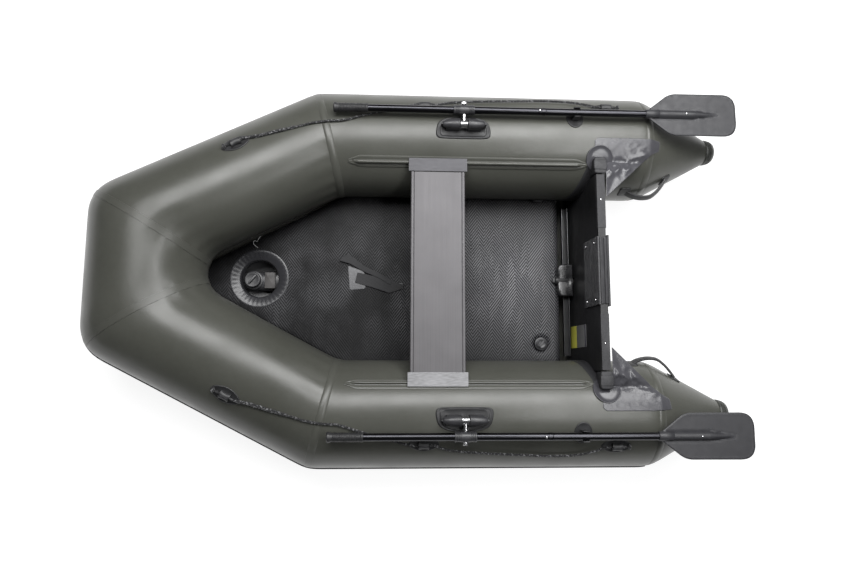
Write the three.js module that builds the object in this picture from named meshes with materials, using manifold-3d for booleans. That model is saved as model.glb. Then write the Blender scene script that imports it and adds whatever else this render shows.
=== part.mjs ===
// Inflatable tender: air tubes, air floor, transom, sliding thwart seat and two stowed oars.
// Millimetres. +X points to the bow, +Y to port, +Z up. The origin is on the ground, under the
// middle of the boat's length. Port pieces are shaped here; starboard ones are their mirror.

import * as THREE from 'three';
import { mergeVertices } from 'three/addons/utils/BufferGeometryUtils.js';
import Module from 'manifold-3d';

// ---------------------------------------------------------------- driving dimensions

const BEAM = 1370;
const TUBE_R = 189;
const TUBE_WALL = 4;
const TUBE_SIDES = 48;
const TUBE_Y = BEAM / 2 - TUBE_R;
const BEND_X = 332; // where the side tubes turn in to the bow
const NOSE_X = 950;
const NOSE_Y = 159;
const BOW_RISE = 86;
const STERN_X = -835; // where the stern cones begin
const CONE_LENGTH = 269;
const CONE_END_R = 46;

const GAP = 0.4; // between pieces that touch
const SKIN_GAP = 0.8; // from a tube to what is glued on it
const PATCH = 3; // a glued patch's thickness
const STRAKE_HEIGHT = 32;
const STRAKE_DEPTH = 5;
const HALF_LENGTH = NOSE_X + TUBE_R + SKIN_GAP + STRAKE_DEPTH;

const FLOOR_BOTTOM = 60;
const FLOOR_TOP = 110;
const FLOOR_AFT_X = -556;
const FLOOR_TIP_X = 820;
const FLOOR_HALF = 352;
const FLOOR_TIP_HALF = 40;
const VALVE_HOLE = { x: 590, r: 78 };
const KEEL_VALVE = { x: 622, flange: 36, neck: 26, height: 14, capR: 30, capHeight: 9 };
const FLOOR_VALVE = { x: -479, y: 242, r: 20, depth: 26, height: 4, capHeight: 5 };
const STRAP_PLAN = [[298, -112], [322, -78], [205, -22], [36, 40], [22, 4], [180, -52], [210, -62],
    [270, -86]];
const SHEET = 3; // the bottom fabric
const KEEL_AFT_X = -560;
const KEEL_FRONT_X = 790;
const AFT_BAR = { length: 578, half: 12, height: 22, wall: 3, ahead: 19, below: 21 };

const TRANSOM_X = -600; // its front face at floor level
const TRANSOM_LEAN = 4.7; // degrees, top aft
const TRANSOM_THICK = 27;
const TRANSOM_HALF = 344;
const TRANSOM_BOTTOM = 28;
const TRANSOM_TOP = 387;
const DRAIN_Z = 127;
const DRAIN_R = 12;
const DRAIN_BLOCK = { half: 62, chamfer: [8, 14], height: 28, reach: 14 };
const PAD_ABOVE = 6; // how far the motor pads stand above the board
const INNER_PAD = { width: 240, height: 140, thick: 14 };
const OUTER_PAD = { width: 250, height: 220, thick: 9 };
const HOLDER = { aft: -666, front: -617, outer: 432, bottom: 300, top: 388 };
const GUSSET_COLLAR = { x: -649, angle: 112, r: 48 };
const GUSSET_WING = { x: -722, angle: 113, plan: [[70, 52], [-70, 52], [-150, 10], [-120, -32], [70, -58]] };
const GUSSET_WEB = { z: 343, plan: [[-664, 258], [-664, 400], [-812, 400]] };

const SEAT_X = -70;
const SEAT_WIDTH = 190;
const SEAT_HALF = 368;
const SEAT_TOP = 358;
const SEAT_THICK = 24;
const SEAT_WALL = 2.5;
const RAIL_ANGLE = 124.6; // around the tube: 0 outboard, 90 on top, 180 inboard
const RAIL_FROM = -605;
const RAIL_TO = 245;
const BEAD_R = 5;
const BEAD_LIFT = 7;

const LOCK_X = -158;
const LOCK_Y = 508;
const LOCK_PAD = { length: 197, width: 88, corner: 30, thick: 4 };
const LOCK_CONE = { from: 13.5, to: 74, r: 20, endR: 10 };
const LOCK_STAND = { length: 48, plan: [[-18, -30], [18, -30], [14, 0], [-14, 0]] };
const SWIVEL = { half: 13, r: 15, axleHalf: 25 };
const NUT = { r: 9, thick: 9, play: 2, pinBeyond: 26 };
const OAR_Y = 560;
const OAR_Z = 403;
const SHAFT_R = 13;
const SHAFT_WALL = 1.4;
const COLLAR = { length: 73, r: 17.5 };
const PIN_R = 5;
const GRIP = { front: 296, back: 176, r: 16 };
const JOINT_X = -446; // where the oar's two halves meet
const SPIGOT = 62;
const BUTTON = { x: -424, r: 4, out: 3 };
const SLEEVE = { front: -803, back: -852, r: 16 };
const BLADE_TIP_X = -1133;
const BLADE_HALF = 78;
const BLADE_THICK = 5;
const BLADE_SHOULDER_X = -893; // where the blade reaches its full width
const BLADE_CORNER = 52;
const CLIP = { x: -559, angle: 73, play: 1.2, wall: 5, width: 22, above: 9, padLength: 62, padWidth: 76 };

const ROPE_R = 4;
const EYE = { length: 104, width: 46, tunnel: 6.5, height: 20, hoop: 13, hoopLength: 34, lineZ: 9 };
const HANDLE = { z: 250, height: 26, foot: 28 };
const TUBE_VALVE = { x: -470, angle: 196, flange: 22, capR: 17, height: 8 };
const BOW_VALVE_ANGLE = 24; // below level, on the bow tube's inner side
const EYES = { bow: { leg: 1, along: 315, angle: 66 }, mid: { leg: 0, along: 812, angle: 61 },
    aft: { leg: 0, along: 158, angle: 58 } };

// ---------------------------------------------------------------- materials

const paint = (color, roughness, metalness = 0) =>
    new THREE.MeshStandardMaterial({ color, roughness, metalness, flatShading: true });

const OLIVE_PVC = [0x4c4e42, 0.5];
const DARK_PVC = [0x2c2d2f, 0.6];
const BLACK_DECK = [0x1b1c1e, 0.7];
const BLACK_RUBBER = [0x151516, 0.75];
const BLACK_PLASTIC = [0x1d1d1f, 0.45];
const BLACK_PLY = [0x161617, 0.55];
const GREY_PAD = [0x55575a, 0.6];
const ALUMINIUM = [0x8d8d8f, 0.35, 0.9];
const BLACK_METAL = [0x202124, 0.35, 0.8];
const STEEL = [0xc8c8c8, 0.25, 1];
const ROPE = [0x1a1a1b, 0.9];

// ---------------------------------------------------------------- solids and placing

const wasm = await Module();
wasm.setup();
const rad = THREE.MathUtils.degToRad;
const vec = (x, y, z) => new THREE.Vector3(x, y, z);

// Only shared corner positions, which is what a closed solid needs.
function bare(geometry) {
    const copy = geometry.clone();
    copy.deleteAttribute('normal');
    copy.deleteAttribute('uv');
    return mergeVertices(copy, 1e-3);
}

function solid(geometry) {
    const shell = bare(geometry);
    return new wasm.Manifold(new wasm.Mesh({
        numProp: 3,
        vertProperties: new Float32Array(shell.attributes.position.array),
        triVerts: new Uint32Array(shell.index.array),
    }));
}

function shape(body) {
    const mesh = body.getMesh();
    const geometry = new THREE.BufferGeometry();
    geometry.setAttribute('position', new THREE.BufferAttribute(mesh.vertProperties, 3));
    geometry.setIndex(new THREE.BufferAttribute(mesh.triVerts, 1));
    return geometry;
}

const join = (...geometries) => shape(geometries.map(solid).reduce((all, one) => all.add(one)));
const cut = (geometry, ...tools) =>
    shape(tools.map(solid).reduce((rest, tool) => rest.subtract(tool), solid(geometry)));

// The copy on the other side of the boat's centre plane, wound to face outwards again.
function mirrored(geometry) {
    const copy = bare(geometry).scale(1, -1, 1);
    const corners = copy.index.array;
    for (let i = 0; i < corners.length; i += 3) {
        [corners[i], corners[i + 1]] = [corners[i + 1], corners[i]];
    }
    return copy;
}

const boat = new THREE.Group();

function add(name, geometry, look, frame = new THREE.Matrix4()) {
    const mesh = new THREE.Mesh(bare(geometry), paint(...look));
    mesh.name = name;
    mesh.applyMatrix4(frame);
    boat.add(mesh);
}

const MIRROR = new THREE.Matrix4().makeScale(1, -1, 1);

function addPair(name, geometry, look, frame = new THREE.Matrix4()) {
    add(`port_${name}`, geometry, look, frame);
    const otherFrame = MIRROR.clone().multiply(frame).multiply(MIRROR);
    add(`starboard_${name}`, mirrored(geometry), look, otherFrame);
}

const placeAt = (x, y, z) => new THREE.Matrix4().makeTranslation(x, y, z);

// Extrusions of a flat outline along one axis, centred on the origin along it.
function alongX(outline, length, curveSegments = 4) {
    const depth = { depth: length, bevelEnabled: false, curveSegments };
    const turn = new THREE.Matrix4().makeBasis(vec(0, 1, 0), vec(0, 0, 1), vec(1, 0, 0));
    return new THREE.ExtrudeGeometry(outline, depth).translate(0, 0, -length / 2).applyMatrix4(turn);
}

const alongY = (outline, length, curveSegments = 4) =>
    new THREE.ExtrudeGeometry(outline, { depth: length, bevelEnabled: false, curveSegments })
        .translate(0, 0, -length / 2).rotateX(Math.PI / 2);

const alongZ = (outline, height, curveSegments = 4) =>
    new THREE.ExtrudeGeometry(outline, { depth: height, bevelEnabled: false, curveSegments });

const box = (x0, x1, y0, y1, z0, z1) => new THREE.BoxGeometry(x1 - x0, y1 - y0, z1 - z0)
    .translate((x0 + x1) / 2, (y0 + y1) / 2, (z0 + z1) / 2);

// Rods along an axis, from one end to the other.
const rodX = (x0, x1, r, sides = 16, endR = r) => new THREE.CylinderGeometry(endR, r, x1 - x0, sides)
    .rotateZ(-Math.PI / 2).translate((x0 + x1) / 2, 0, 0);
const rodY = (y0, y1, r, sides = 12) => new THREE.CylinderGeometry(r, r, y1 - y0, sides)
    .translate(0, (y0 + y1) / 2, 0);
const rodZ = (z0, z1, r, sides = 20) => new THREE.CylinderGeometry(r, r, z1 - z0, sides)
    .rotateX(Math.PI / 2).translate(0, 0, (z0 + z1) / 2);

function polygon(points) {
    return new THREE.Shape(points.map(([x, y]) => new THREE.Vector2(x, y)));
}

function roundedRectangle(length, width, radius) {
    const x = length / 2;
    const y = width / 2;
    const outline = new THREE.Shape();
    outline.absarc(x - radius, y - radius, radius, 0, Math.PI / 2);
    outline.absarc(-x + radius, y - radius, radius, Math.PI / 2, Math.PI);
    outline.absarc(-x + radius, -y + radius, radius, Math.PI, 1.5 * Math.PI);
    outline.absarc(x - radius, -y + radius, radius, 1.5 * Math.PI, 2 * Math.PI);
    return outline;
}

// ---------------------------------------------------------------- the tubes' centre line

const AXIS = [vec(STERN_X, TUBE_Y, TUBE_R), vec(BEND_X, TUBE_Y, TUBE_R),
    vec(NOSE_X, NOSE_Y, TUBE_R + BOW_RISE), vec(NOSE_X, -NOSE_Y, TUBE_R + BOW_RISE),
    vec(BEND_X, -TUBE_Y, TUBE_R), vec(STERN_X, -TUBE_Y, TUBE_R)];
const LEGS = [0, 1, 2, 3, 4];
const direction = (leg) => AXIS[leg + 1].clone().sub(AXIS[leg]).normalize();

// The frame of a leg's start: Y along the leg, Z as nearly up as the leg allows.
function legFrame(leg) {
    const along = direction(leg);
    const across = along.clone().cross(vec(0, 0, 1)).normalize();
    const up = across.clone().cross(along);
    return new THREE.Matrix4().makeBasis(across, along, up).setPosition(AXIS[leg]);
}

// Cuts a leg off at the ground and at each bend, so that it meets the next leg in a mitre.
function mitre(body, leg, gap) {
    let rest = body.trimByPlane([0, 0, 1], 0);
    for (const end of [leg, leg + 1]) {
        if (end > 0 && end < AXIS.length - 1) {
            const inward = end === leg ? 1 : -1;
            const normal = direction(end - 1).add(direction(end)).normalize().multiplyScalar(inward);
            rest = rest.trimByPlane(normal.toArray(), normal.dot(AXIS[end]) + gap / 2);
        }
    }
    return rest;
}

// A leg's outside, grown by `lift`, as an outline to turn about the leg: [radius, along] pairs.
function legOutline(leg, lift) {
    const r = (TUBE_R + lift) / Math.cos(Math.PI / TUBE_SIDES);
    const length = AXIS[leg].distanceTo(AXIS[leg + 1]);
    const cone = [[CONE_END_R + lift, -CONE_LENGTH], [r, 0]];
    if (leg === 0) return [...cone, [r, length + TUBE_R]];
    const far = cone.map(([radius, along]) => [radius, length - along]).reverse();
    if (leg === LEGS.length - 1) return [[r, -TUBE_R], ...far];
    return [[r, -TUBE_R], [r, length + TUBE_R]];
}

function turned(leg, outline) {
    const points = outline.map(([radius, along]) => new THREE.Vector2(radius, along));
    const halfStep = Math.PI / TUBE_SIDES;
    return solid(new THREE.LatheGeometry(points, TUBE_SIDES, halfStep).applyMatrix4(legFrame(leg)));
}

function legPipe(leg, outer, inner, gap) {
    const back = legOutline(leg, inner).reverse();
    const outline = [...legOutline(leg, outer), ...back];
    return mitre(turned(leg, [...outline, outline[0]]), leg, gap);
}

function legRod(leg, lift) {
    const outline = legOutline(leg, lift);
    const ends = [[0, outline[0][1]], ...outline, [0, outline[outline.length - 1][1]]];
    return mitre(turned(leg, ends), leg, 0);
}

// All the space that the tubes fill, grown by `lift`: what lies against them is cut back to it.
const tubeSpace = (lift) => LEGS.map((leg) => legRod(leg, lift)).reduce((all, one) => all.add(one));
const TUBE_SPACE = tubeSpace(SKIN_GAP);

// A frame on a port tube's surface: X along the tube to the bow, Z straight out of it.
function onTube(leg, along, angle, lift = 0) {
    const forward = direction(leg);
    const outboard = vec(0, 0, 1).cross(forward).normalize();
    const up = forward.clone().cross(outboard);
    const out = outboard.multiplyScalar(Math.cos(rad(angle))).addScaledVector(up, Math.sin(rad(angle)));
    const place = AXIS[leg].clone().addScaledVector(forward, along)
        .addScaledVector(out, TUBE_R + lift);
    const side = out.clone().cross(forward);
    return new THREE.Matrix4().makeBasis(forward, side, out).setPosition(place);
}

const sideTube = (x, angle, lift = 0) => onTube(0, x - STERN_X, angle, lift);
const tubePoint = (leg, along, angle, lift) =>
    vec(0, 0, 0).applyMatrix4(onTube(leg, along, angle, lift));

// A patch with this outline, bent over a tube whose axis is TUBE_R below the origin.
function patch(outline, halfWidth, thickness = PATCH) {
    const spread = Math.asin(Math.min(0.95, halfWidth / TUBE_R)) + 0.05;
    const from = Math.PI / 2 - spread;
    const to = Math.PI / 2 + spread;
    const arc = new THREE.Shape();
    arc.absarc(0, -TUBE_R, TUBE_R + SKIN_GAP + thickness, from, to);
    arc.absarc(0, -TUBE_R, TUBE_R + SKIN_GAP, to, from, true);
    const sheet = solid(alongX(arc, 1200, 5));
    return shape(sheet.intersect(solid(alongZ(outline, 200).translate(0, 0, -120))));
}

// ---------------------------------------------------------------- tubes, strake and cone caps

function addTubes() {
    const names = ['port_side_tube', 'port_bow_tube', 'bow_tube', 'starboard_bow_tube',
        'starboard_side_tube'];
    for (const leg of LEGS) add(names[leg], shape(legPipe(leg, 0, -TUBE_WALL, GAP)), OLIVE_PVC);
}

function coneCap() {
    const start = CONE_LENGTH + GAP;
    const tip = HALF_LENGTH + STERN_X;
    const profile = [[0, start], [CONE_END_R + 2, start], [CONE_END_R, start + 16],
        [CONE_END_R - 8, tip - 11], [CONE_END_R - 22, tip - 3], [0, tip]];
    const points = profile.map(([r, along]) => new THREE.Vector2(r, along));
    return new THREE.LatheGeometry(points, 24).rotateZ(Math.PI / 2);
}

// One strip round the outside of the hull, level with the tubes' centre line.
function strake() {
    const strip = LEGS.map((leg) => {
        const length = AXIS[leg].distanceTo(AXIS[leg + 1]);
        const band = new THREE.BoxGeometry(TUBE_R * 2, length + 2 * TUBE_R, STRAKE_HEIGHT);
        band.translate(-TUBE_R * 1.2, length / 2, 0);
        const slab = solid(band.applyMatrix4(legFrame(leg)));
        const pipe = legPipe(leg, SKIN_GAP + STRAKE_DEPTH, SKIN_GAP, -GAP);
        return pipe.intersect(slab);
    });
    const ring = strip.reduce((all, one) => all.add(one));
    return shape(ring.trimByPlane([1, 0, 0], STERN_X + 6).trimByPlane([-1, 0, 0], -HALF_LENGTH));
}

// ---------------------------------------------------------------- bottom, keel and air floor

// How far along the bow's rise a station is: 0 at the bend and 1 at the nose.
const bowPart = (x) => THREE.MathUtils.clamp((x - BEND_X) / (NOSE_X - BEND_X), 0, 1);

const sheetHalfWidth = (x) => TUBE_Y - 74 - (TUBE_Y - NOSE_Y) * bowPart(x + 36);
const sheetEdge = (x) => 18 + BOW_RISE * bowPart(x + 36);
const keelLine = (x) => 3 + 44 * Math.pow(THREE.MathUtils.clamp((x - 600) / 270, 0, 1), 1.5);

function bottomSheet() {
    const from = TRANSOM_X - 30;
    const to = 868;
    const sheet = new THREE.BoxGeometry(1, 1, 1, 16, 8, 1);
    const corners = sheet.attributes.position;
    for (let i = 0; i < corners.count; i += 1) {
        const x = THREE.MathUtils.lerp(from, to, corners.getX(i) + 0.5);
        const across = corners.getY(i) * 2;
        const rise = (sheetEdge(x) - keelLine(x)) * Math.pow(Math.abs(across), 1.4);
        const z = keelLine(x) + rise + SHEET * (corners.getZ(i) - 0.5);
        corners.setXYZ(i, x, across * sheetHalfWidth(x), z + SHEET / 2);
    }
    return shape(solid(sheet).subtract(TUBE_SPACE));
}

function airKeel() {
    const keel = new THREE.CylinderGeometry(1, 1, 1, 12, 14).rotateZ(-Math.PI / 2);
    const corners = keel.attributes.position;
    for (let i = 0; i < corners.count; i += 1) {
        const x = THREE.MathUtils.lerp(KEEL_AFT_X, KEEL_FRONT_X, corners.getX(i) + 0.5);
        const low = keelLine(x) + SHEET + 2;
        const high = FLOOR_BOTTOM - 1;
        const half = 34 + 24 * Math.sin(Math.PI * THREE.MathUtils.clamp((x + 300) / 1200, 0, 1));
        const tip = Math.min(1, (KEEL_FRONT_X - x) / 160 + 0.35);
        const z = (low + high) / 2 + corners.getZ(i) * (high - low) / 2;
        corners.setXYZ(i, x, corners.getY(i) * half * tip, z);
    }
    return keel;
}

function airFloor() {
    const half = FLOOR_HALF;
    const tip = FLOOR_TIP_HALF;
    const slope = (TUBE_Y - NOSE_Y) / (NOSE_X - BEND_X);
    const taperX = FLOOR_TIP_X - 16 - (half - tip) / slope;
    const plan = polygon([[FLOOR_AFT_X, -half + 30], [FLOOR_AFT_X + 30, -half], [taperX, -half],
        [FLOOR_TIP_X - 16, -tip - 12], [FLOOR_TIP_X, -tip + 8], [FLOOR_TIP_X, tip - 8],
        [FLOOR_TIP_X - 16, tip + 12], [taperX, half], [FLOOR_AFT_X + 30, half],
        [FLOOR_AFT_X, half - 30]]);
    const slab = alongZ(plan, FLOOR_TOP - FLOOR_BOTTOM).translate(0, 0, FLOOR_BOTTOM);
    const keelHole = rodZ(0, 200, VALVE_HOLE.r, 32).translate(VALVE_HOLE.x, 0, 0);
    const valveHole = rodZ(80, 200, FLOOR_VALVE.r + GAP).translate(FLOOR_VALVE.x, FLOOR_VALVE.y, 0);
    return shape(solid(cut(slab, keelHole, valveHole)).subtract(TUBE_SPACE));
}

function aftBar() {
    const { half, height, wall } = AFT_BAR;
    const groove = half - wall;
    const channel = polygon([[-half, 0], [half, 0], [half, height], [groove, height], [groove, wall],
        [-groove, wall], [-groove, height], [-half, height]]);
    return alongY(channel, AFT_BAR.length)
        .translate(TRANSOM_X + AFT_BAR.ahead, 0, FLOOR_TOP - AFT_BAR.below);
}

// A screw valve standing on z = 0: its flange and neck, and the cap that closes it.
const valveBody = (flange, neck, depth, height) => join(rodZ(0, 3, flange), rodZ(-depth, height, neck));

function valveCap(r, height) {
    const grip = box(-r * 0.8, r * 0.8, -3, 3, height - 1, height + 6);
    return join(rodZ(0, height, r), grip);
}

function addKeelValve() {
    const { x, flange, neck, height, capR, capHeight } = KEEL_VALVE;
    const body = valveBody(flange, neck, 0, height);
    add('keel_valve', body, BLACK_PLASTIC, placeAt(x, 0, FLOOR_BOTTOM - GAP));
    const cap = valveCap(capR, capHeight);
    add('keel_valve_cap', cap, BLACK_PLASTIC, placeAt(x, 0, FLOOR_BOTTOM + height));
}

function addFloorValve() {
    const { x, y, r, depth, height, capHeight } = FLOOR_VALVE;
    const body = valveBody(r + 5, r, depth, height);
    add('floor_valve', body, BLACK_PLASTIC, placeAt(x, y, FLOOR_TOP + GAP));
    const cap = valveCap(r, capHeight);
    add('floor_valve_cap', cap, BLACK_PLASTIC, placeAt(x, y, FLOOR_TOP + 2 * GAP + height));
}

function addBottom() {
    add('bottom_sheet', bottomSheet(), OLIVE_PVC);
    add('air_keel', airKeel(), DARK_PVC);
    add('floor_airdeck', airFloor(), BLACK_DECK);
    add('floor_aft_bar', aftBar(), ALUMINIUM);
    addKeelValve();
    addFloorValve();
}

function floorStrap() {
    return alongZ(polygon(STRAP_PLAN), PATCH).translate(0, 0, FLOOR_TOP + GAP);
}

// ---------------------------------------------------------------- transom

// The transom's own frame: X out of its front face, Z up along it from floor level.
const TRANSOM_FRAME = new THREE.Matrix4().makeRotationY(-rad(TRANSOM_LEAN))
    .setPosition(TRANSOM_X, 0, FLOOR_BOTTOM);

function transomBoard() {
    const low = TRANSOM_BOTTOM - FLOOR_BOTTOM;
    const high = TRANSOM_TOP - FLOOR_BOTTOM;
    const face = polygon([[-TRANSOM_HALF, low], [TRANSOM_HALF, low], [TRANSOM_HALF, high - 12],
        [TRANSOM_HALF - 12, high], [-TRANSOM_HALF + 12, high], [-TRANSOM_HALF, high - 12]]);
    const board = alongX(face, TRANSOM_THICK).translate(-TRANSOM_THICK / 2, 0, 0);
    const drain = rodX(-80, 80, DRAIN_R + GAP).translate(0, 0, DRAIN_Z - FLOOR_BOTTOM);
    const drilled = cut(board, drain).applyMatrix4(TRANSOM_FRAME);
    return shape(solid(drilled).subtract(TUBE_SPACE));
}

function motorPad({ width, height, thick }, x) {
    const middle = TRANSOM_TOP + PAD_ABOVE - height / 2 - FLOOR_BOTTOM;
    return alongX(roundedRectangle(width, height, 14), thick).translate(x, 0, middle);
}

// Holder on the tube's shoulder, the fabric glued round it and the fabric web behind the transom.
function transomGusset() {
    const { aft, front, outer, bottom, top } = HOLDER;
    const holder = solid(box(aft, front, TRANSOM_HALF + 1, outer, bottom, top));
    const round = new THREE.Shape();
    round.absarc(0, 0, GUSSET_COLLAR.r, 0, Math.PI * 2);
    const onCollar = sideTube(GUSSET_COLLAR.x, GUSSET_COLLAR.angle);
    const collar = solid(patch(round, 60).applyMatrix4(onCollar));
    const onWing = sideTube(GUSSET_WING.x, GUSSET_WING.angle);
    const wing = solid(patch(polygon(GUSSET_WING.plan), 90).applyMatrix4(onWing));
    const web = solid(alongZ(polygon(GUSSET_WEB.plan), PATCH).translate(0, 0, GUSSET_WEB.z));
    const cloth = holder.add(web).subtract(TUBE_SPACE);
    return shape(cloth.add(collar).add(wing).subtract(boardSpace()));
}

// The room that the transom board takes up, a little larger than the board.
function boardSpace() {
    const near = TRANSOM_HALF + 0.5;
    const slab = alongX(polygon([[-near, 0], [near, 0], [near, 360], [-near, 360]]), TRANSOM_THICK + 1.2);
    return solid(slab.translate(-TRANSOM_THICK / 2, 0, 0).applyMatrix4(TRANSOM_FRAME));
}

function addTransom() {
    add('transom_board', transomBoard(), BLACK_PLY);
    const inside = motorPad(INNER_PAD, INNER_PAD.thick / 2 + GAP);
    add('transom_inner_pad', inside, GREY_PAD, TRANSOM_FRAME);
    const outside = motorPad(OUTER_PAD, -TRANSOM_THICK - OUTER_PAD.thick / 2 - GAP);
    add('transom_outer_pad', outside, GREY_PAD, TRANSOM_FRAME);
    addPair('transom_gusset', transomGusset(), DARK_PVC);
}

function addDrain() {
    const { half, chamfer, height, reach } = DRAIN_BLOCK;
    const front = FLOOR_AFT_X + reach;
    const back = TRANSOM_X - 2;
    const near = front - chamfer[0];
    const side = half - chamfer[1];
    const plan = polygon([[back, -half], [near, -half], [front, -side], [front, side],
        [near, half], [back, half]]);
    const block = alongZ(plan, height).translate(0, 0, FLOOR_TOP + 2);
    const bore = rodX(TRANSOM_X - 50, front + 10, DRAIN_R + GAP).translate(0, 0, DRAIN_Z);
    add('drain_housing', cut(block, bore), BLACK_PLASTIC);
    const plug = join(rodX(-40, 0, DRAIN_R), rodX(-0.5, 7, DRAIN_R + 2), box(5, 17, -9, 9, -4, 4));
    add('drain_plug', plug, BLACK_RUBBER, placeAt(front + 1, 0, DRAIN_Z));
}

// ---------------------------------------------------------------- seat and its rails

function seatRail() {
    const middle = (RAIL_FROM + RAIL_TO) / 2;
    const length = RAIL_TO - RAIL_FROM;
    const ends = polygon([[-length / 2, -6], [-length / 2 + 40, -21], [length / 2 - 40, -21],
        [length / 2, -6], [length / 2, 6], [length / 2 - 40, 21], [-length / 2 + 40, 21],
        [-length / 2, 6]]);
    const flange = patch(ends, 22);
    const bead = rodX(-length / 2 + 30, length / 2 - 30, BEAD_R, 12).translate(0, 0, BEAD_LIFT);
    const stem = box(-length / 2 + 30, length / 2 - 30, -2, 2, 2, BEAD_LIFT);
    return join(flange, stem, bead).applyMatrix4(sideTube(middle, RAIL_ANGLE));
}

function seatBoard() {
    const outer = roundedRectangle(SEAT_WIDTH, SEAT_THICK, 4);
    const inner = roundedRectangle(SEAT_WIDTH - 2 * SEAT_WALL, SEAT_THICK - 2 * SEAT_WALL, 2);
    outer.holes.push(inner);
    return alongY(outer, 2 * SEAT_HALF, 2).translate(SEAT_X, 0, SEAT_TOP - SEAT_THICK / 2);
}

// A cap over the board's end whose channel rides on the rail's bead.
function seatBracket() {
    const top = SEAT_TOP + GAP;
    const profile = polygon([[350, top], [SEAT_HALF + GAP, top], [SEAT_HALF + GAP, 343],
        [SEAT_HALF + 5, 343], [SEAT_HALF + 5, top - 1], [391.5, top - 1], [391.5, 355.5],
        [396, 355.5], [399, top], [399, top + 3], [350, top + 3]]);
    return alongX(profile, SEAT_WIDTH + 16).translate(SEAT_X, 0, 0);
}

function addSeat() {
    addPair('seat_rail', seatRail(), OLIVE_PVC);
    add('seat_board', seatBoard(), ALUMINIUM);
    addPair('seat_bracket', seatBracket(), ALUMINIUM);
}

// ---------------------------------------------------------------- oarlocks

const LOCK_FRAME = placeAt(LOCK_X, LOCK_Y, OAR_Z);
const LOCK_ANGLE = THREE.MathUtils.radToDeg(Math.acos((LOCK_Y - TUBE_Y) / TUBE_R));

// A pad glued on the tube with two cones, whose sockets carry the swivel's stub axles.
function oarlockBase() {
    const outline = roundedRectangle(LOCK_PAD.length, LOCK_PAD.width, LOCK_PAD.corner);
    const pad = patch(outline, LOCK_PAD.width / 2 + 4, LOCK_PAD.thick);
    const plate = solid(pad.applyMatrix4(sideTube(LOCK_X, LOCK_ANGLE)));
    const cones = [-1, 1].map((end) => {
        const cone = rodX(LOCK_CONE.from, LOCK_CONE.to, LOCK_CONE.r, 16, LOCK_CONE.endR);
        const stand = alongX(polygon(LOCK_STAND.plan), LOCK_STAND.length)
            .translate(LOCK_CONE.from + LOCK_STAND.length / 2, 0, 0);
        const placed = join(cone, stand);
        return solid(end < 0 ? placed.rotateZ(Math.PI) : placed);
    });
    const axle = solid(rodX(-SWIVEL.axleHalf - 1, SWIVEL.axleHalf + 1, PIN_R + GAP, 16));
    const stands = cones[0].add(cones[1]).subtract(axle);
    const inPlace = solid(shape(stands).applyMatrix4(LOCK_FRAME)).subtract(TUBE_SPACE);
    return shape(inPlace.add(plate));
}

function oarlockSwivel() {
    const barrel = rodX(-SWIVEL.half, SWIVEL.half, SWIVEL.r, 20);
    const axle = rodX(-SWIVEL.axleHalf, SWIVEL.axleHalf, PIN_R, 16);
    const pin = rodY(0, OAR_Y - LOCK_Y + NUT.pinBeyond, PIN_R, 16);
    const nutStart = OAR_Y - LOCK_Y + COLLAR.r + NUT.play;
    return join(barrel, axle, pin, rodY(nutStart, nutStart + NUT.thick, NUT.r, 16));
}

// ---------------------------------------------------------------- oars

const OAR_FRAME = placeAt(0, OAR_Y, OAR_Z);
const pinHole = () => rodY(-40, 40, PIN_R + GAP, 16).translate(LOCK_X, 0, 0);
const buttonHole = () => rodZ(0, 30, BUTTON.r + GAP, 16).translate(BUTTON.x, 0, 0);

function pipeX(x0, x1, outer, inner, sides = 16) {
    return cut(rodX(x0, x1, outer, sides), rodX(x0 - 1, x1 + 1, inner, sides));
}

const innerShaft = () =>
    cut(pipeX(JOINT_X + GAP, GRIP.front - 6, SHAFT_R, SHAFT_R - SHAFT_WALL), pinHole(), buttonHole());

function outerShaft() {
    const tube = pipeX(SLEEVE.back + 3, JOINT_X, SHAFT_R, 8);
    const spigot = pipeX(JOINT_X - 1, JOINT_X + SPIGOT, SHAFT_R - SHAFT_WALL - GAP, 8);
    return cut(join(tube, spigot), buttonHole());
}

const oarCollar = () => cut(pipeX(LOCK_X - COLLAR.length / 2, LOCK_X + COLLAR.length / 2,
    COLLAR.r, SHAFT_R + GAP), pinHole());

function oarGrip() {
    const socket = rodX(GRIP.back - 1, GRIP.front - 5, SHAFT_R + GAP);
    const body = join(rodX(GRIP.back, GRIP.front - 8, GRIP.r), rodX(GRIP.front - 9, GRIP.front, GRIP.r + 2));
    return cut(body, socket);
}

const oarButton = () => rodZ(6, SHAFT_R + BUTTON.out, BUTTON.r, 12).translate(BUTTON.x, 0, 0);

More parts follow.
